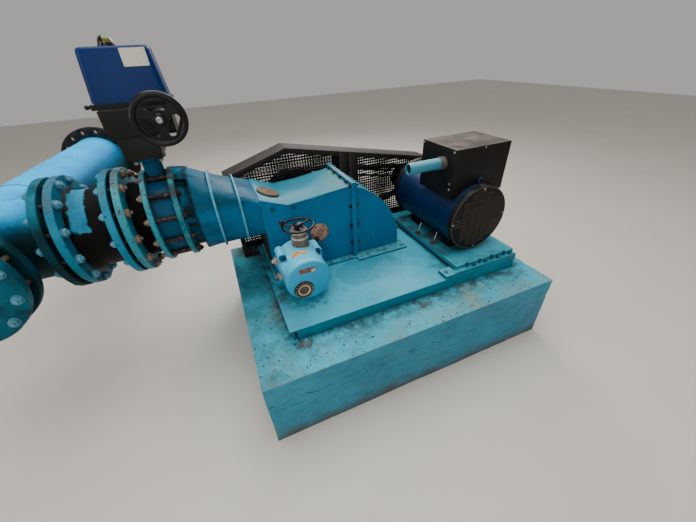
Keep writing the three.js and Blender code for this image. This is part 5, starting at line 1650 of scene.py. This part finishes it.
class TURBINE_OT_generator(bpy.types.Operator):
    """Generator with its louvred cover, terminal box, conduit, feet and lifting eye"""
    bl_idname = "turbine.generator"
    bl_label = "Generator"

    def execute(self, context):
        sizes = context.scene.turbine_sizes
        low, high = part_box("generator_barrel")
        centre = (low + high) / 2
        radius = (high.x - low.x) / 2
        length = high.y - low.y
        turned("generator_barrel_body", at("y", (centre.x, low.y, centre.z)),
               [(0, 0), (radius + 0.0022, 0), (radius + 0.0022, 0.034), (radius, 0.036),
                (radius, length - 0.046), (radius + 0.0015, length - 0.044),
                (radius + 0.0015, length - 0.002), (radius, length), (0, length)], "navy_paint",
               replaces=["generator_barrel"], segments=128)
        low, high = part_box("generator_end_cover")
        cover = (high.x - low.x) / 2
        depth = high.y - low.y
        skin = depth - 0.004
        turned("generator_end_cover_body", at("-y", (centre.x, high.y, centre.z)),
               [(0, 0), (cover - 0.001, 0), (cover, 0.001), (cover, skin - 0.005),
                (cover - 0.0015, skin - 0.0015), (cover - 0.005, skin), (0, skin)], "black_paint",
               replaces=["generator_end_cover"], segments=128)
        turned("cover_rim", at("-y", (centre.x, high.y - skin + 0.0008, centre.z)),
               [(cover - 0.0075, 0), (cover - 0.0025, 0), (cover - 0.0025, 0.0012), (cover - 0.0075, 0.0012)],
               "dusty_rim", segments=128)
        wide, tall, proud = 0.050, 0.0105, 0.0042
        louvre = bmesh.new()
        pts = [(-wide / 2, 0, tall / 2), (wide / 2, 0, tall / 2), (-wide / 2, 0, -tall / 2),
               (wide / 2, 0, -tall / 2), (-wide * 0.42, -proud, -tall / 2), (wide * 0.42, -proud, -tall / 2),
               (-wide * 0.42, -proud * 0.9, -tall * 0.1), (wide * 0.42, -proud * 0.9, -tall * 0.1)]
        v = [louvre.verts.new(p) for p in pts]
        for quad in ((0, 1, 7, 6), (6, 7, 5, 4), (4, 5, 3, 2), (2, 3, 1, 0)):
            louvre.faces.new([v[i] for i in quad])
        louvre.faces.new([v[i] for i in (0, 6, 4, 2)])
        louvre.faces.new([v[i] for i in (1, 3, 5, 7)])
        multiply("cover_louvres", mesh_of("louvre", louvre), louvre_tree, "louvre_paint", smooth=60,
                 Centre=(centre.x, high.y - skin, centre.z), Across=0.056, Up=sizes.louvre_pitch, Columns=7,
                 Rows=19, Reach=0.194)
        ring_of("cover_screws", fastener(0.007, washer=True, depth=0.003), "-y",
                (centre.x, high.y - skin, centre.z), 0.203, 4, "pale_nut", 0.0)

        refined("generator_drive_end_bell", "black_paint", 0.003, smooth=30)
        bell_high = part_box("generator_drive_end_bell")[1]
        ring_of("bell_bolts", fastener(0.009), "y", (centre.x, bell_high.y - 0.0005, centre.z), 0.190, 8,
                "dark_bolt")
        for node in ("generator_foot_front", "generator_foot_rear"):
            refined(node, "black_paint")
            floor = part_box("generator_tray")[0].z + 0.022
            y, base = (-0.131, 0.192) if "front" in node else (0.039, 0.206)
            for side, turn in (("left", -1), ("right", 1)):
                x = centre.x + turn * base
                slab(f"{node}_clamp_{side}", (x - 0.018, y - 0.017, floor - 0.001),
                     (x + 0.018, y + 0.017, floor + 0.008), "rusty_nut", edge=0.0012)
                lean = at("z", (x, y, floor + 0.004)) @ Matrix.Rotation(-turn * math.radians(16), 4, "Y")
                turned(f"{node}_stud_{side}", lean,
                       [(0, 0), (0.0048, 0), (0.0048, 0.081), (0.0038, 0.083), (0, 0.083)], "bright_steel",
                       segments=16)
                one_at(f"{node}_nut_{side}", fastener(0.010), "z", (x, y, floor + 0.0075), "dark_bolt")
        eye = Vector((centre.x + 0.004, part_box("generator_barrel")[0].y + 0.014, centre.z + radius + 0.022))
        bm = bmesh.new()
        loop = [eye + Vector((0.018 * math.cos(a), 0, 0.020 * math.sin(a))) for a in around(32)]
        sweep(bm, loop, circle(0.0058, steps=12), closed=True, up=Vector((0, 1, 0)))
        lathe(bm, at("z", (eye.x, eye.y, centre.z + radius - 0.002)), [
            (0, 0), (0.013, 0), (0.013, 0.005), (0.008, 0.009), (0, 0.009)], 24)
        emit("lifting_eye", bm, "navy_paint", smooth=60)

        refined("terminal_box", "box_lid", 0.0016)
        box_low, box_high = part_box("terminal_box")
        screw = fastener(0.0062, washer=True, depth=0.003)
        one_at("lid_screws_front", screw, "-y", (0.604, box_low.y, 1.250), "pale_nut")
        for side, axis, x in (("left", "-x", box_low.x), ("right", "x", box_high.x)):
            row_of(f"lid_screws_{side}", screw, axis, (x, box_low.y + 0.014, box_high.z - 0.014),
                   (x, box_high.y - 0.014, box_high.z - 0.014), 2, "pale_nut", 2)
        row_of("box_screws_left", screw, "-x", (box_low.x, box_low.y + 0.020, 1.022),
               (box_low.x, box_low.y + 0.020, 1.057), 2, "pale_nut", 3)

        pipe_low, pipe_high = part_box("conduit_stub")
        middle_line = (pipe_low + pipe_high) / 2
        start = at("x", (pipe_low.x, middle_line.y, middle_line.z))
        reach = pipe_high.x - pipe_low.x
        turned("conduit_pipe", start,
               [(0.0275, 0), (0.0325, 0), (0.033, 0.001), (0.033, reach - 0.038), (0.0275, reach - 0.038)],
               "conduit_paint", replaces=["conduit_stub"], segments=64)
        turned("conduit_coupling", start,
               [(0.028, reach - 0.039), (0.0375, reach - 0.039), (0.038, reach - 0.037),
                (0.038, reach - 0.022), (0.0345, reach - 0.020), (0.0345, reach - 0.014),
                (0.0378, reach - 0.012), (0.0378, reach), (0.028, reach)], "grey_iron",
               replaces=["conduit_stub"], segments=48)
        turned("conduit_inside", start, rod(0.0276, 0.012, reach - 0.010), "gasket_rubber", segments=32)
        return {"FINISHED"}


class TURBINE_OT_tray(bpy.types.Operator):
    """Generator tray on its slide rails"""
    bl_idname = "turbine.tray"
    bl_label = "Generator tray"

    def execute(self, context):
        for node in ("slide_rail_front", "slide_rail_rear", "generator_tray"):
            refined(node, "deck_paint", 0.002)
        low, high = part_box("slide_rail_front")
        rear_low, rear_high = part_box("slide_rail_rear")
        tray_low, tray_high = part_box("generator_tray")
        bolt = fastener(0.0135, tip=0.006)
        for i, x in enumerate((low.x + 0.026, 0.495, 0.587, 0.691, 0.795)):
            spot = (x, low.y + (0.017 if i else 0.040), high.z)
            one_at(f"rail_bolt_{i + 1}", bolt, "z", spot, "valve_paint" if i else "blue_nut", i)
        row_of("rear_rail_bolts", bolt, "z", (rear_low.x + 0.026, rear_low.y + 0.041, rear_high.z),
               (rear_low.x + 0.028, rear_low.y + 0.041, rear_high.z), 1, "dark_bolt", 2)
        ridge = bmesh.new()
        block(ridge, (low.x + 0.070, low.y + 0.001, high.z - 0.001),
              (high.x - 0.002, low.y + 0.007, high.z + 0.007))
        block(ridge, (low.x + 0.070, low.y + 0.029, high.z - 0.001),
              (high.x - 0.002, low.y + 0.034, high.z + 0.006))
        emit("rail_ridges", ridge, "deck_paint", edge=0.001)
        slab("tray_seam", (tray_low.x - 0.004, tray_low.y + 0.002, tray_low.z + 0.004),
             (tray_low.x + 0.001, tray_high.y - 0.002, tray_low.z + 0.010), "drab_paint")
        clip = fastener(0.012, tip=0.005)
        row_of("tray_front_bolts", clip, "-y", (tray_low.x + 0.09, tray_low.y, tray_high.z - 0.016),
               (tray_high.x - 0.09, tray_low.y, tray_high.z - 0.016), 4, "valve_paint", 6)
        rng = random.Random(5)
        bm = bmesh.new()
        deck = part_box("deck_plate")[1].z
        for _ in range(70):
            x = high.x - 0.02 - abs(rng.gauss(0, 0.045))
            y = low.y + 0.012 - abs(rng.gauss(0, 0.02))
            y = max(y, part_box("deck_plate")[0].y + 0.004)
            size = rng.uniform(0.0015, 0.0055)
            spin = Matrix.Translation((x, y, deck + size * 0.25)) @ Euler(
                (rng.random() * 3, rng.random() * 3, rng.random() * 3)).to_matrix().to_4x4()
            block(bm, (-size, -size * 0.7, -size * 0.4), (size, size * 0.7, size * 0.4), spin)
        emit("rust_crumbs", bm, "brown_plate", smooth=20)
        return {"FINISHED"}


class TURBINE_OT_belt_drive(bpy.types.Operator):
    """Shafts, grooved pulleys and the belts round them"""
    bl_idname = "turbine.belt_drive"
    bl_label = "Belt drive"

    def execute(self, context):
        for node, body in (("turbine_shaft", "turbine_rotor"), ("generator_shaft", "generator_rotor")):
            low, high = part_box(node)
            turned(node + "_body", at("y", ((low.x + high.x) / 2, low.y, (low.z + high.z) / 2)),
                   disc_profile((high.z - low.z) / 2 - 0.0003, 0.0004, high.y - low.y, 0.002), "bright_steel",
                   body, [node], segments=72)
        wheels = {}
        belt_low, belt_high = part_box("drive_belts")
        pitch = 0.0168
        first = (belt_low.y + belt_high.y) / 2 - 2 * pitch
        for node, body in (("turbine_pulley", "turbine_rotor"), ("generator_pulley", "generator_rotor")):
            low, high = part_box(node)
            centre = (low + high) / 2
            radius = (high.x - low.x) / 2
            wheels[node] = (centre, radius)
            place = at("y", (centre.x, low.y, centre.z))
            width = high.y - low.y
            outer = [(radius - 0.0015, 0), (radius, 0.0015)]
            for k in range(BELT_STRANDS):
                mid = first + k * pitch - low.y
                outer += [(radius, mid - 0.0077), (radius - 0.0115, mid - 0.0052),
                          (radius - 0.0115, mid + 0.0052), (radius, mid + 0.0077)]
            outer += [(radius, width - 0.0015), (radius - 0.0015, width)]
            rim = radius - 0.026
            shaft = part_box("turbine_shaft" if node == "turbine_pulley" else "generator_shaft")
            shaft_radius = (shaft[1].x - shaft[0].x) / 2
            hub = min(shaft_radius * 1.9, rim * 0.72)
            inside = [(rim, width), (rim - 0.003, width * 0.70), (hub + 0.003, width * 0.66),
                      (hub, width - 0.002), (hub - 0.002, width), (shaft_radius, width),
                      (shaft_radius, 0), (hub - 0.002, 0), (hub, 0.002), (hub + 0.003, width * 0.34),
                      (rim - 0.003, width * 0.30), (rim, 0)]
            bm = lathe(bmesh.new(), place, outer + inside, 112)
            if node == "turbine_pulley":
                holes = [("DIFFERENCE", lathe(bmesh.new(), place @ Matrix.Translation(
                    (0.142 * math.cos(a), 0.142 * math.sin(a), 0)), rod(0.048, 0, width), 40))
                    for a in (math.radians(30 + 60 * i) for i in range(6))]
                show(node + "_body", carved(node, bm, holes), "pulley_iron", body, [node])
            else:
                emit(node + "_body", bm, "pulley_iron", body, [node])
            slab(node + "_key", (centre.x - 0.006, high.y - 0.001, centre.z + shaft_radius * 0.82),
                 (centre.x + 0.006, high.y + 0.004, centre.z + shaft_radius * 1.08), "bright_steel",
                 body=body, edge=0.0006)
            ring_of(node + "_clamp_screws", fastener(0.009, washer=False, depth=0.004), "y",
                    (centre.x, high.y, centre.z), (hub + shaft_radius) / 2, 3, "dark_bolt", 0.6, body=body)

        (big, big_radius), (small, small_radius) = wheels["turbine_pulley"], wheels["generator_pulley"]
        span = Vector((small.x - big.x, small.z - big.z))
        lean = math.atan2(span.y, span.x)
        wrap = math.acos((big_radius - small_radius) / span.length)
        path = []
        for centre, radius, start, end, steps in (
                (big, big_radius, lean + wrap, lean + 2 * math.pi - wrap, 88),
                (small, small_radius, lean - wrap, lean + wrap, 40)):
            for i in range(steps + 1):
                a = start + (end - start) * i / steps
                path.append((centre.x + radius * math.cos(a), centre.z + radius * math.sin(a)))
        bm = bmesh.new()
        for k in range(BELT_STRANDS):
            y = first + k * pitch
            loop = [Vector((x, y, z)) for x, z in path]
            section = [(-0.0085, -0.0047), (-0.0085, 0.0047), (0.0042, 0.0078), (0.0062, 0.0068),
                       (0.0062, -0.0068), (0.0042, -0.0078)]
            sweep(bm, loop, section, closed=True, up=Vector((0, -1, 0)))
        emit("drive_belts_body", bm, "belt_rubber", replaces=["drive_belts"], smooth=30)
        return {"FINISHED"}


class TURBINE_OT_guard(bpy.types.Operator):
    """Perforated belt guard with its rims, posts and edge strips"""
    bl_idname = "turbine.guard"
    bl_label = "Belt guard"

    def execute(self, context):
        sizes = context.scene.turbine_sizes
        pitch, share = sizes.mesh_pitch, sizes.mesh_hole
        half, hole = pitch / 2, pitch * share / 2
        cell = bmesh.new()
        ring = [(-1, -1), (1, -1), (1, 1), (-1, 1)]
        outer = [cell.verts.new((x * half, 0, z * half)) for x, z in ring]
        inner = [cell.verts.new((x * hole, 0, z * hole)) for x, z in ring]
        for i in range(4):
            j = (i + 1) % 4
            cell.faces.new((outer[i], outer[j], inner[j], inner[i]))
        mesh = mesh_of("guard_cell", cell, outwards=False)
        low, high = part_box("guard_front_mesh")
        peak = Vector((-0.42, 0, high.z))
        left_top, right_top = 1.088, 0.988
        columns, rows = int((high.x - low.x - 0.002) / pitch), int((high.z - low.z) / pitch)
        turbine_hole, generator_hole = middle("turbine_pulley"), middle("generator_pulley")
        for node, holes in (("guard_front_mesh", (0.080, 0.070)), ("guard_rear_mesh", (0.0, 0.0))):
            node_low, node_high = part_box(node)
            multiply(node + "_sheet", mesh, guard_tree, "mesh_paint", replaces=[node],
                     Pitch=pitch, Columns=columns, Rows=rows,
                     Centre=((low.x + high.x) / 2, node_high.y, low.z + 0.004 + rows * pitch / 2),
                     Thickness=node_high.y - node_low.y, Peak=(peak.x, 0, peak.z),
                     Left_slope=(peak.z - left_top) / (peak.x - node_low.x),
                     Right_slope=(peak.z - right_top) / (node_high.x - peak.x), Margin=0.012,
                     First_hole=(turbine_hole.x, 0, turbine_hole.z), First_radius=holes[0],
                     Second_hole=(generator_hole.x, 0, generator_hole.z), Second_radius=holes[1])
        for node in ("guard_end_left", "guard_end_right", "guard_top_left", "guard_top_right"):
            refined(node, "drab_paint", 0.0012)
        strip = 0.034
        outline = [(low.x, low.z), (low.x, left_top), (peak.x, peak.z), (high.x, right_top), (high.x, low.z)]
        inner = [(low.x + strip, low.z + strip), (low.x + strip, left_top - strip * 0.8),
                 (peak.x, peak.z - strip * 1.03), (high.x - strip, right_top - strip * 0.8),
                 (high.x - strip, low.z + strip)]
        posts = ((-0.031, 0.066), (0.047, 0.066))
        slope = (peak.z - right_top) / (high.x - peak.x)
        for node, face, turn in (("guard_front_mesh", low.y, -1),
                                 ("guard_rear_mesh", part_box("guard_rear_mesh")[1].y, 1)):
            thin = 0.003
            place = Matrix.Translation((0, face + (thin if turn > 0 else 0), 0))
            bm = plate(bmesh.new(), outline, [inner], thin, place @ Matrix.Rotation(math.pi / 2, 4, "X"))
            emit(node + "_frame", bm, "drab_paint", edge=0.0006)
            bm = bmesh.new()
            for x, width in posts:
                top = peak.z - (x + width / 2 - peak.x) * slope
                y0, y1 = (face - 0.006, face - 0.003) if turn < 0 else (face + 0.003, face + 0.006)
                block(bm, (x, y0, low.z + 0.004), (x + width, y1, top - 0.006))
            emit(node + "_posts", bm, "drab_paint", edge=0.0006)
            bm = bmesh.new()
            x0, x1 = posts[1][0] + posts[1][1] - 0.01, high.x - strip + 0.006
            z0, z1 = (peak.z - slope * (x - peak.x) - 0.180 for x in (x0, x1))
            y = face - 0.0032 if turn < 0 else face + 0.0002
            loft(bm, [[Vector((x, y, z)), Vector((x, y, z + 0.018)), Vector((x, y + 0.003, z + 0.018)),
                       Vector((x, y + 0.003, z))] for x, z in ((x0, z0), (x1, z1))])
            emit(node + "_rail", bm, "drab_paint")
            rivet = fastener(0.007, washer=True, depth=0.003)
            axis = "-y" if turn < 0 else "y"
            front = face + 0.003 * turn
            row_of(node + "_rivets_bottom", rivet, axis, (low.x + 0.05, front, low.z + 0.017),
                   (high.x - 0.05, front, low.z + 0.017), 9, "dark_bolt", 2)
            row_of(node + "_rivets_right", rivet, axis, (peak.x + 0.12, front, peak.z - 0.045),
                   (high.x - 0.06, front, right_top - 0.008), 7, "dark_bolt", 3)
            row_of(node + "_rivets_left", rivet, axis, (low.x + 0.05, front, left_top - 0.004),
                   (peak.x - 0.05, front, peak.z - 0.034), 4, "dark_bolt", 4)
        return {"FINISHED"}


class TURBINE_PT_panel(bpy.types.Panel):
    """Lists the steps and the values"""
    bl_idname = "TURBINE_PT_panel"
    bl_label = "Turbine set"
    bl_space_type = "VIEW_3D"
    bl_region_type = "UI"
    bl_category = "Turbine"

    def draw(self, context):
        for step in STEPS:
            self.layout.operator(step.bl_idname)
        for group in (context.scene.turbine_paints, context.scene.turbine_sizes):
            for key in group.__annotations__:
                self.layout.prop(group, key)


STEPS = (
    TURBINE_OT_stage, TURBINE_OT_plinth, TURBINE_OT_base_frame, TURBINE_OT_casing, TURBINE_OT_pipework,
    TURBINE_OT_header, TURBINE_OT_valve_drive, TURBINE_OT_vane_drive, TURBINE_OT_generator, TURBINE_OT_tray,
    TURBINE_OT_belt_drive, TURBINE_OT_guard,
)
CLASSES = (TurbinePaints, TurbineSizes, *STEPS, TURBINE_PT_panel)


def register():
    for made in CLASSES:
        bpy.utils.register_class(made)
    bpy.types.Scene.turbine_paints = bpy.props.PointerProperty(type=TurbinePaints)
    bpy.types.Scene.turbine_sizes = bpy.props.PointerProperty(type=TurbineSizes)


def unregister():
    del bpy.types.Scene.turbine_sizes
    del bpy.types.Scene.turbine_paints
    for made in reversed(CLASSES):
        bpy.utils.unregister_class(made)


def main():
    register()
    for step in STEPS:
        group, name = step.bl_idname.split(".")
        getattr(getattr(bpy.ops, group), name)()


if __name__ == "__main__":
    main()
